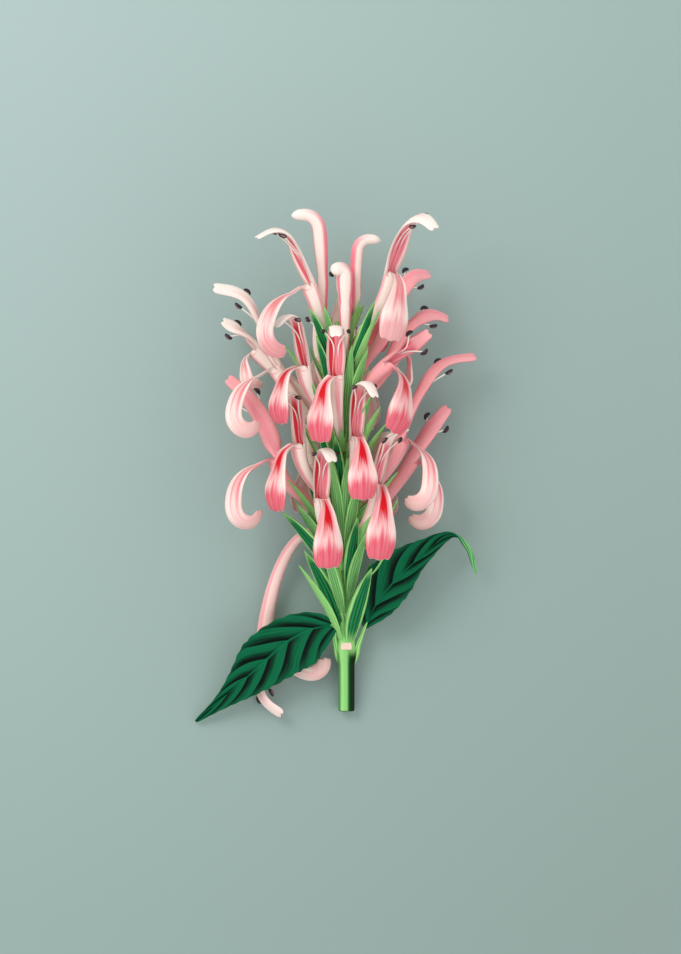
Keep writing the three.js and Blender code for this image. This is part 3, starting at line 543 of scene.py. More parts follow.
def select(obj, kind, chosen):
    """Select in edit mode the points (VERT) or faces (FACE) that pass a test."""
    mode("EDIT")
    bpy.ops.mesh.select_mode(type=kind)
    bpy.ops.mesh.select_all(action="DESELECT")
    mode("OBJECT")
    for item in obj.data.vertices if kind == "VERT" else obj.data.polygons:
        item.select = bool(chosen(item))
    mode("EDIT")


def steps(count):
    return [i / count for i in range(count + 1)]


def straight_tube(name, sides, rows, ends="NOTHING"):
    """A round tube of the given rows, one unit high and one unit in radius."""
    bpy.ops.object.select_all(action="DESELECT")
    bpy.ops.mesh.primitive_circle_add(vertices=sides, radius=1, fill_type=ends)
    tube = bpy.context.object
    tube.name = name
    mode("EDIT")
    bpy.ops.mesh.select_all(action="SELECT")
    for _ in range(rows):
        bpy.ops.mesh.extrude_region_move(TRANSFORM_OT_translate={"value": (0, 0, 1 / rows)})
    bpy.ops.mesh.select_all(action="SELECT")
    bpy.ops.mesh.normals_make_consistent(inside=False)
    mode("OBJECT")
    return tube


def straight_blade(name, columns, rows):
    """A flat blade from x -1 to 1 and y 0 to 1."""
    bpy.ops.object.select_all(action="DESELECT")
    bpy.ops.mesh.primitive_grid_add(x_subdivisions=columns, y_subdivisions=rows, size=1)
    blade = bpy.context.object
    blade.name = name
    mode("EDIT")
    bpy.ops.mesh.select_all(action="SELECT")
    bpy.ops.transform.resize(value=(2, 1, 1))
    bpy.ops.transform.translate(value=(0, 0.5, 0))
    mode("OBJECT")
    return blade


def points_of(obj):
    flat = np.empty(len(obj.data.vertices) * 3)
    obj.data.vertices.foreach_get("co", flat)
    return flat.reshape(-1, 3)


def copied(pattern, name):
    obj = pattern.copy()
    obj.data = pattern.data.copy()
    obj.name = name
    bpy.context.scene.collection.objects.link(obj)
    return obj


FLOOR_ROOM = 0.4                      # mm, half a petal, so that no sheet sinks into the floor


def lay(obj, points):
    """Put the points of a piece at places given in the plant's millimetres."""
    placed = (np.asarray(points) + JOINT) * MM
    placed[:, 2] = np.maximum(placed[:, 2], FLOOR_ROOM * MM)
    obj.location = (0, 0, 0)
    obj.data.vertices.foreach_set("co", placed.ravel())
    obj.data.update()


def grain(obj, across, along_piece, part=0):
    """Give each point its share across and along the piece, as the piece's own map."""
    for other in list(obj.data.uv_layers):
        obj.data.uv_layers.remove(other)
    layer = obj.data.uv_layers.new(name="grain")
    part = np.broadcast_to(part, len(across))
    for polygon in obj.data.polygons:
        corners = list(polygon.vertices)
        top = max(part[v] for v in corners)
        shares = [across[v] for v in corners]
        if max(shares) - min(shares) > 0.5:
            shares = [share + (share < 0.5) for share in shares]
        for loop, v, share in zip(polygon.loop_indices, corners, shares):
            place = along_piece[v] if part[v] == top else 0.0
            layer.data[loop].uv = (share, top + 0.9 * place)


def wears(obj, **amounts):
    """Store amounts that are the same all over a piece, for its finish to read."""
    for name, value in amounts.items():
        made = obj.data.attributes.new(name, "FLOAT", "POINT")
        made.data.foreach_set("value", np.full(len(obj.data.vertices), value))


def thicken(obj, thickness, far_side):
    """Give a sheet its wall; far_side picks the material of its other face."""
    only(obj)
    wall = obj.modifiers.new("wall", "SOLIDIFY")
    wall.thickness = thickness * MM
    wall.offset = 0
    wall.use_even_offset = False
    wall.material_offset = far_side
    bpy.ops.object.modifier_apply(modifier="wall")


def dress(obj, finishes, wall=0, level=1):
    """Finish a piece: one material, or an outer and an inner one for the two faces of its wall."""
    obj.data.materials.clear()
    for finish in finishes:
        obj.data.materials.append(finish.material)
    if wall:
        thicken(obj, wall, len(finishes) - 1)
    soften(obj, level)


def soften(obj, level=1):
    only(obj)
    if level:
        smooth = obj.modifiers.new("smooth", "SUBSURF")
        smooth.levels = smooth.render_levels = level
        bpy.ops.object.modifier_apply(modifier="smooth")
    bpy.ops.object.shade_smooth()


def join(name, pieces):
    bpy.ops.object.select_all(action="DESELECT")
    for piece in pieces:
        piece.select_set(True)
    bpy.context.view_layer.objects.active = pieces[0]
    bpy.ops.object.join()
    pieces[0].name = name
    pieces[0].data.name = name
    return pieces[0]


def stands_for(piece, node):
    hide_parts(node)
    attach(piece, "root")


patterns = []
pieces = {}

# %% [markdown]
# ## The straight flower
# A real flower of this plant is one tube of petal that splits at its throat into two lips. The straight
# flower is made the same way: a ring is drawn out into a tube, then the back half of its rim is drawn out
# into the upper lip, and the front half into the lower lip. Vertex groups keep the lips apart, because
# they stand at the same height. It is modelled once and copied for every flower.

# %% Model the straight flower
RING = 24
TUBE_ROWS = 14
UPPER_ROWS = 16
LOWER_ROWS = 22


def straight_flower():
    flower = straight_tube("straight_flower", RING, TUBE_ROWS)
    for name, half, rows in (("upper", -1, UPPER_ROWS), ("lower", 1, LOWER_ROWS)):
        group = flower.vertex_groups.new(name=name)
        select(flower, "VERT", lambda point: abs(point.co.z - 1) < 1e-4 and point.co.y * half > -1e-4)
        flower.vertex_groups.active_index = group.index
        for _ in range(rows):
            bpy.ops.mesh.extrude_region_move(TRANSFORM_OT_translate={"value": (0, 0, 1 / rows)})
            bpy.ops.object.vertex_group_assign()
        mode("OBJECT")
    return flower


pattern_flower = straight_flower()
patterns.append(pattern_flower)
straight = points_of(pattern_flower)
which = np.zeros(len(straight), int)
for vertex in pattern_flower.data.vertices:
    for member in vertex.groups:
        which[vertex.index] = 1 + member.group
angles = np.round(np.degrees(np.arctan2(straight[:, 1], straight[:, 0])) % 360, 3)
angles[(which == 1) & (angles < 1)] = 360
heights = np.clip(straight[:, 2] - (which > 0), 0, 1)
across_flower = np.select([which == 1, which == 2], [(angles - 180) / 180, angles / 180], angles / 360)
print("straight flower:", len(straight), "points, lips of", (which == 1).sum(), (which == 2).sum())

# %% [markdown]
# ## Laying a flower along its curves
# Each point knows its row and its angle. Its row gives a frame on the flower's curve and the width and
# depth of the flower there, and its angle gives the place round that frame. Near the throat the lips
# start as the rim of the tube and take their own way over a few rows. The lips' margins wave a little,
# and their ends are drawn out in rounded lobes: three on the lower lip and two on the upper one.

# %% Lay out a flower


LIP_WAVE = 0.35                       # mm
LIP_CORNER = 0.9                      # mm, how far the corners of a lip's end draw back


def lobes(across, count):
    return np.abs(math.sin(count * math.pi * across)) ** 0.8


def lip_place(lip, v, angle, across, rim_frame):
    frames, widths, depths, length, lobe_count, phase = lip
    frame = frames[int(round(v * (len(frames) - 1)))]
    c, s = cos_sin(angle)
    wave = LIP_WAVE * v * abs(c) ** 3 * math.sin(14 * v + phase + 2 * c)
    place = frame.at(softly(widths, v) * c, softly(depths, v) * s + wave,
                     rise(v, 0.86, 1) * (lobes(across, lobe_count) - LIP_CORNER * abs(c) ** 4))
    rim = rim_frame.at(THROAT * c, THROAT * s, v * length)
    return rim + (place - rim) * rise(v, 0, 0.2)


def flower_points(flower, phase=0.0):
    tube = tube_frames(flower, steps(TUBE_ROWS))
    throat = throat_frame(flower)
    upper = upper_frames(flower, steps(UPPER_ROWS))
    lower = lower_frames(flower, steps(LOWER_ROWS))
    lips = {1: (upper, upper_width(flower), UPPER_DEPTH, flower["upper"][0], 2, phase),
            2: (lower, lower_width(flower), LOWER_DEPTH, flower["lower"][0], 3, phase + 1)}
    placed = []
    for part, angle, across, v in zip(which, angles, across_flower, heights):
        if part:
            placed.append(lip_place(lips[part], v, angle, across, throat))
        else:
            frame = tube[int(round(v * TUBE_ROWS))]
            c, s = cos_sin(angle)
            radius = softly(TUBE_RADIUS, v)
            placed.append(frame.at(radius * c, radius * s))
    return np.array(placed)

# %% [markdown]
# ## Stamens and calyx
# Two white stamens grow inside the tube, run along under the hood and hold their dark anthers out beside
# its end. An anther is a small ball, stretched and bent like a kidney. The calyx is a green cup with five
# narrow teeth at the foot of the tube: a straight tube whose rim is drawn out in points.

# %% Model a stamen, an anther and a calyx
FILAMENT = 0.34                       # mm, half a stamen's thickness
STAMEN_STATIONS = [0.1, 0.5, 0.72]
STAMEN_ASIDE = [1.4, 1.5, 5]
STAMEN_LIFT = [-2.4, -0.1, 1]
CALYX_TEETH = 5
CALYX_LENGTH = 13
CALYX_WALL = 0.4

pattern_filament = straight_tube("straight_filament", 8, 14, "NGON")
pattern_calyx = straight_tube("straight_calyx", 40, 8)
bpy.ops.object.select_all(action="DESELECT")
bpy.ops.mesh.primitive_uv_sphere_add(segments=16, ring_count=10, radius=1)
pattern_anther = bpy.context.object
mode("EDIT")
bpy.ops.mesh.select_all(action="SELECT")
bpy.ops.transform.resize(value=(0.95, 0.9, 1.9))
mode("OBJECT")
patterns += [pattern_filament, pattern_calyx, pattern_anther]
ANTHER = points_of(pattern_anther)
ANTHER[:, 0] += 0.35 - 0.16 * ANTHER[:, 2] ** 2


def lay_tube(obj, frames, width, depth=None):
    """Lay a straight tube's rows in frames; width and depth are its half sizes along it."""
    straight_points = points_of(obj)
    placed = []
    for x, y, v in straight_points:
        frame = frames[int(round(v * (len(frames) - 1)))]
        placed.append(frame.at(width(v) * x, (depth or width)(v) * y))
    share = np.degrees(np.arctan2(straight_points[:, 1], straight_points[:, 0])) % 360 / 360
    lay(obj, placed)
    grain(obj, share, straight_points[:, 2])


def stamen(flower, hand, name):
    frames = upper_frames(flower, STAMEN_STATIONS)
    path = [tube_frames(flower, [0.8, 1])[0].at(hand * 1.2, -1.3)]
    path += [f.at(hand * aside, lift) for f, aside, lift in zip(frames, STAMEN_ASIDE, STAMEN_LIFT)]
    points, ways = smooth_path(path, steps(14))
    filament = copied(pattern_filament, name + "_filament")
    lay_tube(filament, [Frame(p, w, frames[1].out) for p, w in zip(points, ways)],
             lambda v: FILAMENT * (1.15 - 0.3 * v))
    dress(filament, [filament_finish], level=0)
    anther = copied(pattern_anther, name + "_anther")
    last = frames[-1]
    third = np.cross(last.side, last.tangent)
    lay(anther, [path[-1] + last.side * hand * x + third * y + last.tangent * z for x, y, z in ANTHER])
    grain(anther, ANTHER[:, 1] / 2 + 0.5, ANTHER[:, 2] / 3.9 + 0.5)
    dress(anther, [anther_finish], level=0)
    return [filament, anther]


def calyx(flower, name, room=0.0):
    point = tube_curve(flower)
    length = sum(np.linalg.norm(point(i / 20) - point((i + 1) / 20)) for i in range(20))
    cup = copied(pattern_calyx, name + "_calyx")
    straight_points = points_of(cup)
    stations = np.linspace(0, 1, 121)
    frames = tube_frames(flower, stations)
    placed, share = [], []
    for x, y, v in straight_points:
        turn = math.atan2(y, x)
        tooth = 1 - abs(2 * ((turn / (2 * math.pi) * CALYX_TEETH) % 1) - 1)
        s = v * CALYX_LENGTH / length * (0.4 + 0.6 * tooth ** 0.8)
        radius = along(TUBE_RADIUS, s) + PETAL / 2 + 0.45 + room + 0.7 * s * length / CALYX_LENGTH
        placed.append(frames[int(round(s * 120))].at(radius * math.cos(turn), radius * math.sin(turn)))
        share.append(0.5 * tooth)
    lay(cup, placed)
    grain(cup, np.array(share), straight_points[:, 2])
    dress(cup, [bract_finish], CALYX_WALL)
    return cup

# %% [markdown]
# ## Finish of the petals
# A petal of this flower is pale cream at its margins and pink along its middle. Inside, the lower lip has
# a deep red mark at the throat that forks like a chevron, soft pink stripes down its length and a pink
# band at its end. The finish reads the petal's own map: across from 0 to 1, and along in three parts, 0
# for the tube, 1 for the upper lip and 2 for the lower one. Fine veins run along it as a bump.

# %% Petal finish
CREAM = colour(254, 236, 222)
BLUSH = colour(252, 208, 202)
SALMON = colour(252, 160, 164)
PINK = colour(246, 126, 144)
ROSE = colour(228, 84, 104)
RED = colour(214, 0, 16)
WHITE = colour(253, 240, 229)
EDGE = colour(150, 66, 70)


def petal_finish(name, inside):
    finish = Finish(name, Roughness=0.6, Specular_IOR_Level=0.22)
    across, along_petal = finish.across_and_along()
    part = along_petal.floor()
    v = (along_petal - part) / 0.9
    red, stripes, pink = (finish.amount(name) for name in ("red", "stripes", "pink"))
    lower = part.over(1.5)
    upper = part.over(0.5) - lower
    tube = 1 - upper - lower
    side = (across * math.pi).cosine()
    middle = abs(side)
    grainy = finish.clouds((across * 9, along_petal * 2.2))
    streaky = finish.clouds((across * 34, along_petal * 2.4))
    streak = streaky.rise(0.3, 0.7)
    soft = grainy.rise(0.35, 0.7)
    whole = pink.rise(0.5, 0.75)
    finish.now = finish.mix(soft * 0.45 + pink * 0.3, CREAM, BLUSH)
    if inside:
        finish.coat(upper * whole * 0.85, SALMON)
        stripe = abs(side + 0.5).rise(0.26, 0.1) + abs(side - 0.3).rise(0.16, 0.05) * 0.8
        stripe = stripe * v.rise(0.0, 0.1) * v.rise(0.95, 0.5)
        stripe_colour = finish.mix(v.rise(0.6, 0.2), PINK, ROSE)
        finish.coat(lower * stripe * stripes * (1 - red) * (0.6 + 0.4 * streak), stripe_colour)
        pinkish = red.rise(0.15, 0.6)
        warm = middle.rise(0.98, 0.6) * (0.15 + 0.5 * streak) * v.rise(0.1, 0.3)
        finish.coat(lower * warm * pinkish, PINK)
        band = (v + grainy * 0.3 - middle * 0.06).rise(0.78, 0.96) * (0.8 + 0.2 * streak)
        finish.coat(lower * band * (0.35 + 0.65 * pinkish), ROSE)
        # Painted highlights: lighter blush patches over the rose band at the end of the lower lip.
        painted_highlight = grainy.rise(0.6, 0.75) * v.rise(0.6, 0.8)
        finish.coat(lower * painted_highlight * 0.45, BLUSH)
        glow = middle.rise(0.8, 0.3) * v.rise(0.06, 0.16) * v.rise(0.7, 0.4)
        finish.coat(lower * glow * (0.35 + 0.4 * red), ROSE)
        margin = side.rise(0.6, 0.75) * v.rise(0.2, 0.35) * v.rise(0.7, 0.5)
        finish.coat(lower * margin * red * 0.6, ROSE)
        reach = 0.05 + 0.34 * v.rise(0.12, 0.44)
        wedge = middle.rise(reach + 0.08, reach - 0.04) * v.rise(0.1, 0.17)
        flame = wedge * (v + (streak - 0.5) * 0.22 - middle * 0.3).rise(0.52, 0.4)
        finish.coat(lower * flame * red, RED)
        panel = middle.rise(0.9, 0.78) * v.rise(0.72, 0.55)
        finish.coat(upper * panel * (0.75 + 0.25 * streak), PINK)
        line = abs(middle - 0.62).rise(0.1, 0.03) + abs(side - 0.2).rise(0.08, 0.02)
        finish.coat(upper * line * v.rise(0.7, 0.5) * 0.6, ROSE)
        flank = side.rise(-0.1, -0.25) * side.rise(-0.93, -0.82) * v.rise(0.7, 0.5)
        flank = flank * (0.35 + 0.65 * red) * (0.75 + 0.25 * streak)
        finish.coat(upper * flank, finish.mix(pinkish, ROSE, RED))
        finish.coat(tube, ROSE)
    else:
        rows = (across * (6 * math.pi) + grainy * 2).cosine().rise(0.0, 1.0)
        finish.coat(tube * rows * (0.4 + 0.35 * streak), PINK)
        stripe = abs(side - 0.25).rise(0.5, 0.15) * v.rise(0.95, 0.7)
        finish.coat(whole * (0.8 + 0.2 * streak), SALMON)
        finish.coat((1 - tube) * stripe * (0.25 + 0.4 * streak), PINK)
    finish.coat(upper * v.rise(0.5, 0.9) * (1 - whole) * 0.75, WHITE)
    rim = middle.rise(0.955, 0.995) * (1 - tube)
    finish.coat(rim * 0.45, EDGE)
    veins = finish.clouds((across * 60, along_petal * 2.0), detail=2.0)
    finish.bump(veins, 0.25, 0.0004)
    return finish


petal_outside = petal_finish("petal_outside", False)
petal_inside = petal_finish("petal_inside", True)
print("petal finishes:", len(petal_outside.tree.nodes), "and", len(petal_inside.tree.nodes), "nodes")

# %% [markdown]
# ## Finish of the stamens
# The thread of a stamen is pink inside the hood and ivory where it comes out. Its anther is almost black,
# with a faint plum colour where its two halves meet.

# %% Stamen finishes
filament_finish = Finish("stamen_thread", Roughness=0.5)
thread_along = filament_finish.across_and_along()[1]
filament_finish.feed("Base Color", filament_finish.mix(
    thread_along.rise(0.45, 0.62), colour(238, 150, 154), colour(250, 240, 228)))
anther_finish = Finish("dark_anther", Roughness=0.42)
anther_across, anther_along = anther_finish.across_and_along()
seam = abs(anther_across - 0.5).rise(0.28, 0.02)
seam = seam * abs(anther_along / 0.9 - 0.5).rise(0.38, 0.12)
anther_finish.feed("Base Color", anther_finish.mix(
    seam * 0.75, colour(30, 14, 24), colour(170, 116, 124)))
anther_finish.bump(anther_finish.clouds(anther_finish.position(), 1800.0, detail=2.0), 0.3, 0.0003)

# %% [markdown]
# ## Finish of the bracts
# A bract is light yellow-green at its margins and deep green down its middle, with fine veins along it.

# %% Bract finish
bract_finish = Finish("bract_green", Roughness=0.62, Specular_IOR_Level=0.25)
bract_across, bract_along = bract_finish.across_and_along()
bract_middle = abs(bract_across - 0.5) * 2
mottle = bract_finish.clouds((bract_across * 7, bract_along * 5))
ribs = (bract_across * 34 + mottle * 3).cosine() * 0.5 + 0.5
deep = (bract_middle + (mottle - 0.5) * 0.5).rise(0.78, 0.5)
deep = deep * bract_along.rise(0.04, 0.25) * bract_along.rise(0.92, 0.76)
deep_green = bract_finish.mix(ribs, colour(2, 72, 38), colour(14, 138, 72))
bract_finish.now = bract_finish.mix(mottle, colour(186, 238, 150), colour(138, 214, 110))
bract_finish.coat(ribs.rise(0.25, 0.0) * 0.6, colour(30, 112, 50))
bract_finish.coat(deep * bract_finish.amount("deep"), deep_green)
bract_finish.bump(ribs, 0.45, 0.0004)
print("bract finish:", len(bract_finish.tree.nodes), "nodes")

# %% [markdown]
# ## Make the flowers
# Each flower is a copy of the straight one, laid along its own curves and given a wall. It is joined with
# its stamens and its calyx into one piece, which takes the place of the flower's solid.

# %% Build the flowers
for number, (name, flower) in enumerate(FLOWERS.items()):
    petals = copied(pattern_flower, "bloom_" + name)
    petals.vertex_groups.clear()
    lay(petals, flower_points(flower, phase=number * 1.7))
    grain(petals, across_flower, heights, which)
    wears(petals, **dict(zip(("red", "stripes", "pink"), flower["look"])))
    dress(petals, [petal_outside, petal_inside], PETAL)
    parts = [petals, calyx(flower, name)] + stamen(flower, 1, name) + stamen(flower, -1, name)
    bloom = join("bloom_" + name, parts)
    stands_for(bloom, "flower_" + name)
    pieces[name] = bloom
print("a flower has", len(pieces["middle"].data.polygons), "faces")

# %% [markdown]
# ## Buds
# A bud is the same flower still shut: a tube that swells into a club, with its end bent over. It is one
# straight tube with closed ends, laid along the same two curves.

# %% Build the buds
BUD_ROWS = 36
BUD_TUBE_ROWS = 14
pattern_bud = straight_tube("straight_bud", 20, BUD_ROWS, "NGON")
patterns.append(pattern_bud)
bud_finish = Finish("bud_petal", Roughness=0.55, Specular_IOR_Level=0.3)
bud_across, bud_along = bud_finish.across_and_along()
bud_grain = bud_finish.clouds((bud_across * 12, bud_along * 2.5))
stripe = sum(abs(bud_across - place).rise(width, width * 0.4)
             for place, width in ((0.24, 0.07), (0.63, 0.12), (0.88, 0.14)))
stripe = stripe * bud_along.rise(0.86, 0.7)
bud_finish.now = bud_finish.mix(bud_grain * 0.6, CREAM, BLUSH)
bud_finish.coat(stripe * (0.7 + bud_grain * 0.6), PINK)
bud_finish.coat(bud_along.rise(0.6, 0.88) * 0.7, WHITE)
bud_finish.bump(bud_finish.clouds((bud_across * 70, bud_along * 2), detail=2.0), 0.3, 0.0004)


def bud_radius(v, girth):
    row = v * BUD_ROWS
    if row <= BUD_TUBE_ROWS:
        return softly(TUBE_RADIUS, row / BUD_TUBE_ROWS) * (0.84 * girth)
    head = (row - BUD_TUBE_ROWS) / (BUD_ROWS - BUD_TUBE_ROWS)
    blunt = math.sqrt(max(0, 1 - max(0, (head - 0.9) / 0.1) ** 2))
    return girth * softly(BUD_RADIUS[:-1] + [(1, 2.1)], head) * max(blunt, 0.12)


for name, bud in BUDS.items():
    club = copied(pattern_bud, "bud_club_" + name)
    heads = steps(BUD_ROWS - BUD_TUBE_ROWS)[1:]
    frames = tube_frames(bud, steps(BUD_TUBE_ROWS))
    frames += upper_frames(bud, heads)
    lay_tube(club, frames, lambda v: 0.94 * bud_radius(v, bud["girth"]),
             lambda v: bud_radius(v, bud["girth"]))
    dress(club, [bud_finish])
    shut = join("shut_bud_" + name, [club, calyx(bud, name, 0.1)])
    stands_for(shut, "bud_" + name)
    pieces["bud " + name] = shut
print("a bud has", len(pieces["bud middle"].data.polygons), "faces")

# %% [markdown]
# ## Leaves
# The two leaves grow in a pair at the joint. A leaf is a thin blade, folded a little along its midrib,
# with a scalloped margin, a drawn-out tip, and side veins that sink between soft pillows of green. A grid
# is laid along the midrib and its rows take the leaf's own widths.

# %% Build the leaves
LEAF_FOLD = 0.22
LEAF_WALL = 0.6
LEAF_SCALLOPS = 15
PETIOLE = 1.3                         # mm, a leaf stalk's radius
VEIN_STEP = 0.155                     # share of the leaf's length from one side vein to the next
VEIN_SLANT = 0.24
LEAVES = {
    "left_leaf": dict(
        petiole=[(-4, -1.5, 8), (-5, 3, 9.5), (-5.8, 8, 12), (-4.6, 12.5, 14)],
        midrib=[(-4.6, 12.5, 14), (-16, 10.5, 15.5), (-25.8, 5.3, 15.3), (-35.6, -3.5, 13.6),
                (-52, -18, 7.6), (-64.6, -29, 3)],
        left=[(0, 1.5), (0.05, 6.8), (0.1, 10.2), (0.16, 12.6), (0.31, 13.6), (0.48, 10.8), (0.65, 7.5),
              (0.78, 4.6), (1, 0.5)],
        right=[(0, 0.8), (0.05, 4.1), (0.1, 6.2), (0.16, 8.1), (0.31, 10.9), (0.48, 11.6), (0.65, 6.4),
               (0.78, 3), (1, 0.5)],
        roll=[(0, -8), (1, 0)]),
    "right_leaf": dict(
        petiole=[(3.4, -0.5, 8), (4.4, 4, 9), (5.8, 7.5, 10.5), (7, 11, 12)],
        midrib=[(7, 11, 12), (12, 21, 15), (21, 32, 17), (32, 42, 18.5), (44.5, 50.5, 18),
                (50.6, 45.5, 14), (54.2, 34, 8)],
        left=[(0, 0.8), (0.1, 7), (0.3, 12), (0.5, 7.5), (0.68, 2.6), (0.8, 2.2), (0.9, 1.7), (1, 0.5)],
        right=[(0, 0.8), (0.1, 6), (0.3, 8), (0.5, 3.8), (0.68, 2.2), (0.8, 2.2), (0.9, 1.7), (1, 0.5)],
        roll=[(0, 0), (0.62, 0), (0.78, 110), (1, 140)]),
}


def leaf_finish(name, face, light, painted_shade_green, vein):
    finish = Finish(name, Roughness=0.65, Specular_IOR_Level=0.1)
    across, along_leaf = finish.across_and_along()
    v = along_leaf / 0.9
    middle = abs(across - 0.5) * 2
    slanted = (v - middle * VEIN_SLANT + 0.02) / VEIN_STEP
    between = (slanted * (2 * math.pi)).cosine() * 0.5 + 0.5
    mottled = finish.clouds((across * 26, along_leaf * 9))
    fine = finish.clouds((slanted * 9, middle * 2), detail=2.0)
    phase = slanted - slanted.floor()
    # Painted shade: dark bands along the lower side of each side vein and near the midrib, with hatched
    # streaks, laid over the lit green.
    shade = (phase + (fine - 0.5) * 0.6).rise(0.22, 0.8) * middle.rise(1.3, 0.6)
    shade = shade.most(fine.rise(0.58, 0.7) * 0.4)
    finish.now = finish.mix(shade, light, painted_shade_green)
    lines = (between.rise(0.93, 0.995) * middle.rise(1.0, 0.8)).most(middle.rise(0.07, 0.025))
    finish.coat(lines * 0.7, vein)
    finish.bump(lines * face + mottled * 0.4, 0.5, 0.0005)
    return finish


# In each leaf finish the second colour is the lit green and the third is the painted shade between the
# veins.
leaf_top = leaf_finish("leaf_top", -1, colour(4, 100, 62), colour(0, 12, 8), colour(8, 112, 72))
leaf_under = leaf_finish("leaf_under", 1, colour(126, 202, 120), colour(70, 150, 84), colour(170, 220, 150))
pattern_leaf = straight_blade("straight_leaf", 20, 56)
pattern_petiole = straight_tube("straight_petiole", 12, 14, "NGON")
patterns += [pattern_leaf, pattern_petiole]


def leaf_points(leaf, flat):
    rows = sorted(set(np.round(flat[:, 1], 4)))
    points, ways = smooth_path(leaf["midrib"], rows)
    frames = {v: Frame(point, way, UP).roll(along(leaf["roll"], v))
              for v, point, way in zip(rows, points, ways)}
    placed = []
    for x, y, _ in flat:
        v = round(y, 4)
        half = softly(leaf["left"] if x < 0 else leaf["right"], v)
        half *= 1 + 0.035 * abs(x) ** 6 * math.sin(2 * math.pi * LEAF_SCALLOPS * v)
        slanted = (v - abs(x) * VEIN_SLANT + 0.02) / VEIN_STEP
        pillow = -0.45 * math.cos(2 * math.pi * slanted) * abs(x) ** 0.5 * (1 - abs(x) ** 4)
        pillow *= min(1, half / 6)
        lift = abs(x) * half * LEAF_FOLD + pillow - 0.5 * math.exp(-(x * half / 0.7) ** 2)
        placed.append(frames[v].at(-x * half, lift))
    return placed


for name, leaf in LEAVES.items():
    blade = copied(pattern_leaf, name + "_blade")
    flat = points_of(blade)
    lay(blade, leaf_points(leaf, flat))
    grain(blade, flat[:, 0] / 2 + 0.5, flat[:, 1])
    dress(blade, [leaf_top, leaf_under], LEAF_WALL)
    petiole = copied(pattern_petiole, name + "_petiole")
    inside_joint = (math.copysign(1.4, leaf["petiole"][0][0]) - 0.4, -5, 5.5)
    under_blade = 0.6 * np.array(leaf["midrib"][0]) + 0.4 * np.array(leaf["midrib"][1]) - (0, 0, 1.2)
    points, ways = smooth_path([inside_joint] + leaf["petiole"] + [under_blade], steps(14))
    lay_tube(petiole, [Frame(p, w, UP) for p, w in zip(points, ways)],
             lambda v: PETIOLE * (1.25 - 0.8 * rise(v, 0, 1)))
    dress(petiole, [bract_finish])
    whole = join("green_" + name, [blade, petiole])
    stands_for(whole, name)
    pieces[name] = whole
print("a leaf has", len(pieces["left_leaf"].data.polygons), "faces")

# %% [markdown]
# ## Where the bracts grow
# The bracts that show from above are set one by one: where each leaves the stalk, the place of its tip
# and its size. Each takes the height where the flowers leave it the most room. Under and beside the stalk
# they grow in pairs, each the best of a few seeded draws. These rules placed the bracts of the solid stem
# too, so both have the same ones.

# %% Choose the bracts' places
SURFACE = 0.9                         # mm, the floor's height over the joint's zero
CLEARANCE = 0.35                      # mm between a bract and a flower
BRACT_WIDTH = [(0, 1), (0.3, 3.4), (0.6, 3.6), (0.85, 1.9), (1, 0.3)]
WIDEST = 3.6
BRACT_FOLD = 0.45
BRACT_WALL = 0.55
BRACT_FOOT = 1.7                      # mm out of the stalk's middle, well inside the stalk
FRONT_BRACTS = [      # where each leaves the stalk, the place of its tip, its half width, in mm
    (3, -18.5, 44, 4), (2, -20.8, 38, 1.8), (24, -27.7, 60, 3.8), (1, 10.1, 36.5, 3.6),
    (14, -10.9, 46, 2.4), (24, 4.2, 58, 2.8), (20, 7.6, 51, 2.3), (36, 13, 62, 1.8), (28, -21, 63, 2.4),
    (26, -19.7, 80.6, 2.8), (34, -25.6, 74, 2), (40, 4.6, 73.5, 2.4), (46, 0, 83.2, 2.5),
    (44, -7.1, 82, 2.5), (42, 21, 77, 1.6), (52, -12.6, 96, 2.8), (60, -5.5, 92, 3), (64, 16.8, 98, 1.8),
    (68, 13.9, 104.5, 2.1), (70, 9.7, 109, 2.3), (74, -16.8, 116.5, 2.4), (78, -4, 109.5, 2),
    (84, 1.7, 130, 2.4), (88, 8.4, 128.5, 2.3), (86, -26.5, 130, 2), (92, -13.4, 134, 2.8),
    (94, -8.2, 131, 2.2), (98, 11.3, 148.3, 3), (102, 13.4, 144.5, 1.6), (108, -16, 145.3, 2.8),
    (110, -10, 146.6, 2.3), (116, 4.6, 148.3, 1.5)]
FRONT_LIFTS = [13, 11.5, 10, 8.5, 7, 5.5, 4]
HIGHER = 0.6                          # what one mm of height is worth against a crossing, in mm2
PAIRS = 7
PAIR_STEP = 17
PAIR_FIRST = 6
BRACT_TRIES = 80
BRACT_LENGTH = (36, 27)               # mm, in the lowest pair and in the highest one
BRACT_LEAN = (42, 20)
PRESSED = 0.5                         # bracts under the stalk lean out less, because the floor is near
TUBE_SPOTS = [0.15, 0.3, 0.45, 0.6, 0.75, 0.9, 1]
LIP_SPOTS = [0.2, 0.4, 0.6, 0.8, 1]
LIP_ROOM = 0.6
BRACT_SPOTS = [0.2, 0.35, 0.5, 0.65, 0.8, 1]


def seeded(seed):
    state = seed

    def draw(low, high):
        nonlocal state
        state = (state * 1664525 + 1013904223) % 4294967296
        return low + (high - low) * state / 4294967296
    return draw


def front_bract(row, lift):
    root, x, y, half = row
    foot = stalk_point(root) + (math.copysign(1, x) if x else 0, 0, 1.2)
    tip = np.array([x, y, stalk_point(y)[2] + lift])
    bend = (foot + tip) / 2 + (0.2 * (foot[0] - tip[0]), 0, 0.3 * lift)
    return dict(corners=(foot, bend, tip), half=half, facing=np.array([x / 25, 0, 1.0]))


def bract_frames(bract, stations):
    if "corners" in bract:
        foot, bend, tip = bract["corners"]
        return carried_frames([(foot * (1 - s) ** 2 + bend * 2 * s * (1 - s) + tip * s * s,
                                (bend - foot) * (1 - s) + (tip - bend) * s) for s in stations],
                              bract["facing"])
    upward, sideways = cos_sin(bract["angle"])
    lean, outward = bract["lean"], np.array([sideways, 0, upward])
    start = Frame(stalk_point(bract["y"]) + outward * BRACT_FOOT, (0, 1, STALK_SLOPE), outward)
    return turning_frames(start, bract["length"], lambda v: lean * (1.5 - 1.1 * v), stations)


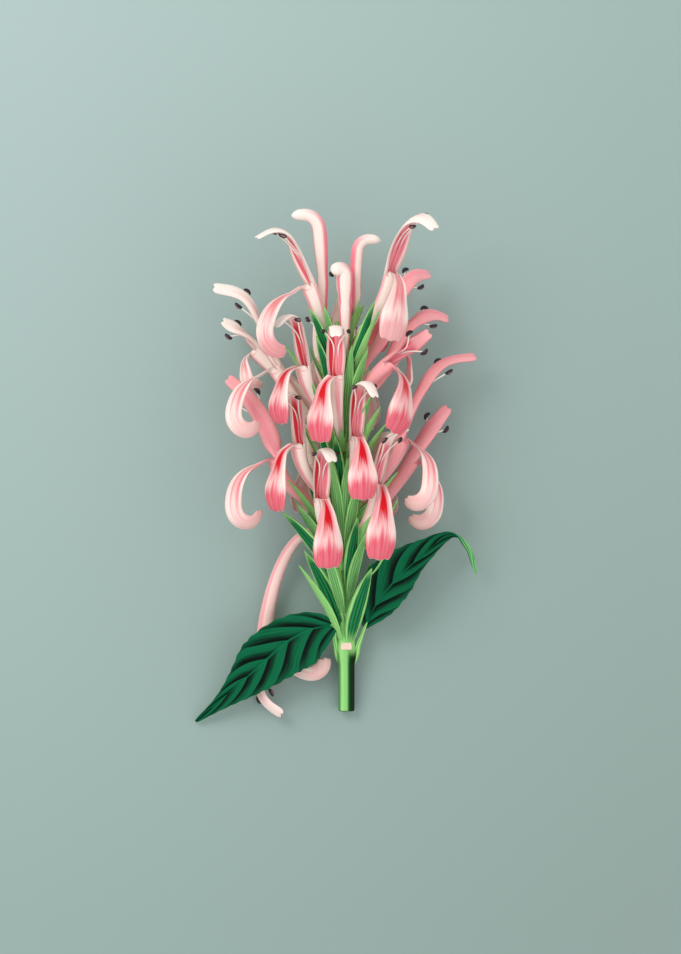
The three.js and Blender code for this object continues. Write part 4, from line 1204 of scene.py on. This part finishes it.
def crowded_spots():
    spots = []
    for flower in list(FLOWERS.values()) + list(BUDS.values()):
        point = tube_curve(flower)
        spots += [(*point(s), along(TUBE_RADIUS, s) + PETAL) for s in TUBE_SPOTS]
        lips = [(upper_frames(flower, LIP_SPOTS), upper_width(flower) if "lower" in flower else BUD_RADIUS)]
        if "lower" in flower:
            lips.append((lower_frames(flower, LIP_SPOTS), lower_width(flower)))
        for lip_frames, widths in lips:
            spots += [(*f.point, LIP_ROOM * along(widths, v)) for f, v in zip(lip_frames, LIP_SPOTS)]
    for leaf in LEAVES.values():
        spots += [(*p, PETIOLE + 1) for p in leaf["petiole"] + leaf["midrib"]]
    return np.array(spots, float)


def crossing(bract, spots):
    total = 0.0
    for frame, v in zip(bract_frames(bract, BRACT_SPOTS), BRACT_SPOTS):
        half = along(BRACT_WIDTH, v) * bract.get("half", WIDEST) / WIDEST
        short = spots[:, 3] + 0.8 * half + CLEARANCE - np.linalg.norm(spots[:, :3] - frame.point, axis=1)
        total += (np.maximum(0, short) ** 2).sum() + 9 * max(0, SURFACE + 2 - frame.point[2]) ** 2
    return total


def all_bracts():
    draw = seeded(5)
    spots = crowded_spots()
    chosen = []
    for row in FRONT_BRACTS:
        lift = min(FRONT_LIFTS, key=lambda lift: crossing(front_bract(row, lift), spots) - HIGHER * lift)
        chosen.append(front_bract(row, lift))
    for pair in range(PAIRS):
        height = pair / (PAIRS - 1)
        for middle in (115, 245):
            tries = []
            for _ in range(BRACT_TRIES):
                angle = middle + draw(-40, 40)
                y = PAIR_FIRST + PAIR_STEP * pair + draw(-4, 4)
                pressed = PRESSED if math.cos(math.radians(angle)) < -0.1 else 1
                lean = pressed * (BRACT_LEAN[0] + (BRACT_LEAN[1] - BRACT_LEAN[0]) * height + draw(-8, 8))
                length = BRACT_LENGTH[0] + (BRACT_LENGTH[1] - BRACT_LENGTH[0]) * height + draw(-2, 2)
                tries.append(dict(y=y, angle=angle, lean=lean, length=length))
            chosen.append(min(tries, key=lambda bract: crossing(bract, spots)))
    return chosen


bracts = all_bracts()
print(len(bracts), "bracts, the last one", round(bracts[-1]["length"], 2), "mm long")

# %% [markdown]
# ## The stalk
# The stalk is four-angled, with a rib at each corner. It is thicker at the joint where the leaves grow,
# and on its upper side there it bears the pale scar of a fallen leaf. A straight tube takes the ribbed
# outline row by row. The cut end is inset by hand, to show the skin round the paler pith, and so is
# the scar.

# %% Build the stalk
STALK_RADIUS = [(-23.9, 4.1), (-4, 4.1), (-1.5, 4.9), (2.5, 4.8), (8, 3.8), (25, 3.1), (45, 2.8), (90, 2.4),
                (140, 1.7)]
STALK_LINES = 100
SCAR_Y = 3.0                          # mm over the joint
SCAR_HALF_WIDTH = 0.0021              # m
SCAR_HALF_LENGTH = 0.0018
stem_finish = Finish("stem_green", Roughness=0.7, Specular_IOR_Level=0.05)
stem_across, stem_along = stem_finish.across_and_along()
stem_mottle = stem_finish.clouds((stem_across * 30, stem_along * 14))
# Painted shade and highlight: the sunk faces between the four ribs are darker green and the ribs stay
# lighter.
painted_groove_shade = (stem_across * (8 * math.pi)).cosine() * 0.5 + 0.5
stem_finish.now = stem_finish.mix(stem_mottle, colour(190, 242, 156), colour(146, 216, 116))
stem_finish.coat(painted_groove_shade * 0.4, colour(60, 160, 76))
below_joint = 0.25 + 0.75 * stem_along.rise(0.15, 0.125)
left_side = stem_across.rise(0.17, 0.13) * below_joint
# Painted shade: below the joint the right side of the stalk, away from the lamp, is darkened towards near
# black.
painted_shade_right = stem_across.rise(0.25, 0.3) * below_joint
stem_finish.coat(left_side * 0.8, colour(28, 120, 60))
painted_shade_colour = stem_finish.mix(stem_across.rise(0.28, 0.33), colour(6, 92, 48), colour(0, 10, 6))
stem_finish.coat(painted_shade_right * 0.97, painted_shade_colour)
stem_finish.bump(stem_mottle, 0.3, 0.0005)
pith_finish = Finish("cut_pith", Roughness=0.7)
pith_noise = pith_finish.clouds(pith_finish.position(), 1500.0)
pith_finish.feed("Base Color", pith_finish.mix(pith_noise, colour(214, 226, 178), colour(186, 206, 150)))
pith_finish.bump(pith_noise, 0.4, 0.0004)
scar_finish = Finish("leaf_scar", Roughness=0.65)
scar_noise = scar_finish.clouds(scar_finish.position(), 900.0)
scar_finish.feed("Base Color", scar_finish.mix(scar_noise, colour(252, 226, 206), colour(240, 188, 174)))
scar_finish.bump(scar_noise, 0.35, 0.0004)

stalk = straight_tube("stalk", 32, STALK_LINES, "NGON")
lines = points_of(stalk)
stalk_frames = []
for i in range(STALK_LINES + 1):
    y = CUT_END_Y + (STALK_TOP_Y - CUT_END_Y) * i / STALK_LINES
    stalk_frames.append(Frame(stalk_point(y), stalk_point(y + 1) - stalk_point(y - 1), UP))


def stalk_radius(v):
    return along(STALK_RADIUS, CUT_END_Y + (STALK_TOP_Y - CUT_END_Y) * v)


placed = []
for x, y, v in lines:
    rib = 0.76 + 0.24 * abs(2 * x * y) ** 1.3
    frame = stalk_frames[int(round(v * STALK_LINES))]
    placed.append(frame.at(stalk_radius(v) * x * rib, stalk_radius(v) * y * rib))
lay(stalk, placed)
grain(stalk, np.degrees(np.arctan2(lines[:, 1], lines[:, 0])) % 360 / 360, lines[:, 2])
for finish in (stem_finish, pith_finish, scar_finish):
    stalk.data.materials.append(finish.material)
only(stalk)
select(stalk, "FACE", lambda face: face.normal.y < -0.9)
stalk.active_material_index = 1
bpy.ops.mesh.inset(use_even_offset=False, thickness=0.35 * MM, depth=0)
bpy.ops.object.material_slot_assign()
bpy.ops.mesh.inset(use_even_offset=False, thickness=0.7 * MM, depth=-0.3 * MM)
scar_x, scar_y, _ = (stalk_point(SCAR_Y) + JOINT) * MM
select(stalk, "FACE", lambda face: face.normal.z > 0.5 and abs(face.center.x - scar_x) < SCAR_HALF_WIDTH
       and abs(face.center.y - scar_y) < SCAR_HALF_LENGTH)
stalk.active_material_index = 2
bpy.ops.mesh.inset(thickness=0.25 * MM, depth=0.35 * MM)
bpy.ops.object.material_slot_assign()
bpy.ops.mesh.inset(thickness=0.4 * MM, depth=-0.15 * MM)
mode("OBJECT")
soften(stalk)
print("the stalk has", len(stalk.data.polygons), "faces")

# %% [markdown]
# ## The bracts
# A bract is a narrow, pointed blade, folded like a gutter along its middle. One flat blade is modelled and
# each copy is laid in its own place and given a wall. The stalk and its bracts grow as one, so they are
# joined into one piece.

# %% Build the bracts
pattern_bract = straight_blade("straight_bract", 6, 14)
patterns.append(pattern_bract)
flat_bract = points_of(pattern_bract)
bract_rows = sorted(set(np.round(flat_bract[:, 1], 4)))
green_parts = [stalk]
for number, place in enumerate(bracts):
    size = place.get("half", WIDEST) / WIDEST
    bract = copied(pattern_bract, "bract_%d" % number)
    frames = dict(zip(bract_rows, bract_frames(place, bract_rows)))
    placed = []
    for x, y, _ in flat_bract:
        v = round(y, 4)
        half = size * softly(BRACT_WIDTH, v) * math.sqrt(max(0.02, 1 - max(0, (v - 0.9) / 0.1) ** 2))
        wave = 0.3 * abs(x) ** 3 * math.sin(9 * v + number)
        placed.append(frames[v].at(-x * half, -abs(x) ** 1.3 * half * BRACT_FOLD + wave))
    lay(bract, placed)
    grain(bract, flat_bract[:, 0] / 2 + 0.5, flat_bract[:, 1])
    half = place.get("half", 2.7)
    wears(bract, deep=1.0 if half > 2.75 else 0.5 if half > 2.25 else 0.15)
    dress(bract, [bract_finish], BRACT_WALL)
    green_parts.append(bract)
green_stem = join("green_stem", green_parts)
stands_for(green_stem, "stem")
pieces["stem"] = green_stem
print("the stem has", len(green_stem.data.polygons), "faces")

# %% [markdown]
# ## Tidy up
# The straight patterns have done their work and are removed, and the triangles of each piece are counted.

# %% Finish
for pattern in patterns:
    bpy.data.objects.remove(pattern)
for name, piece in pieces.items():
    print(name, sum(len(p.vertices) - 2 for p in piece.data.polygons), "triangles")
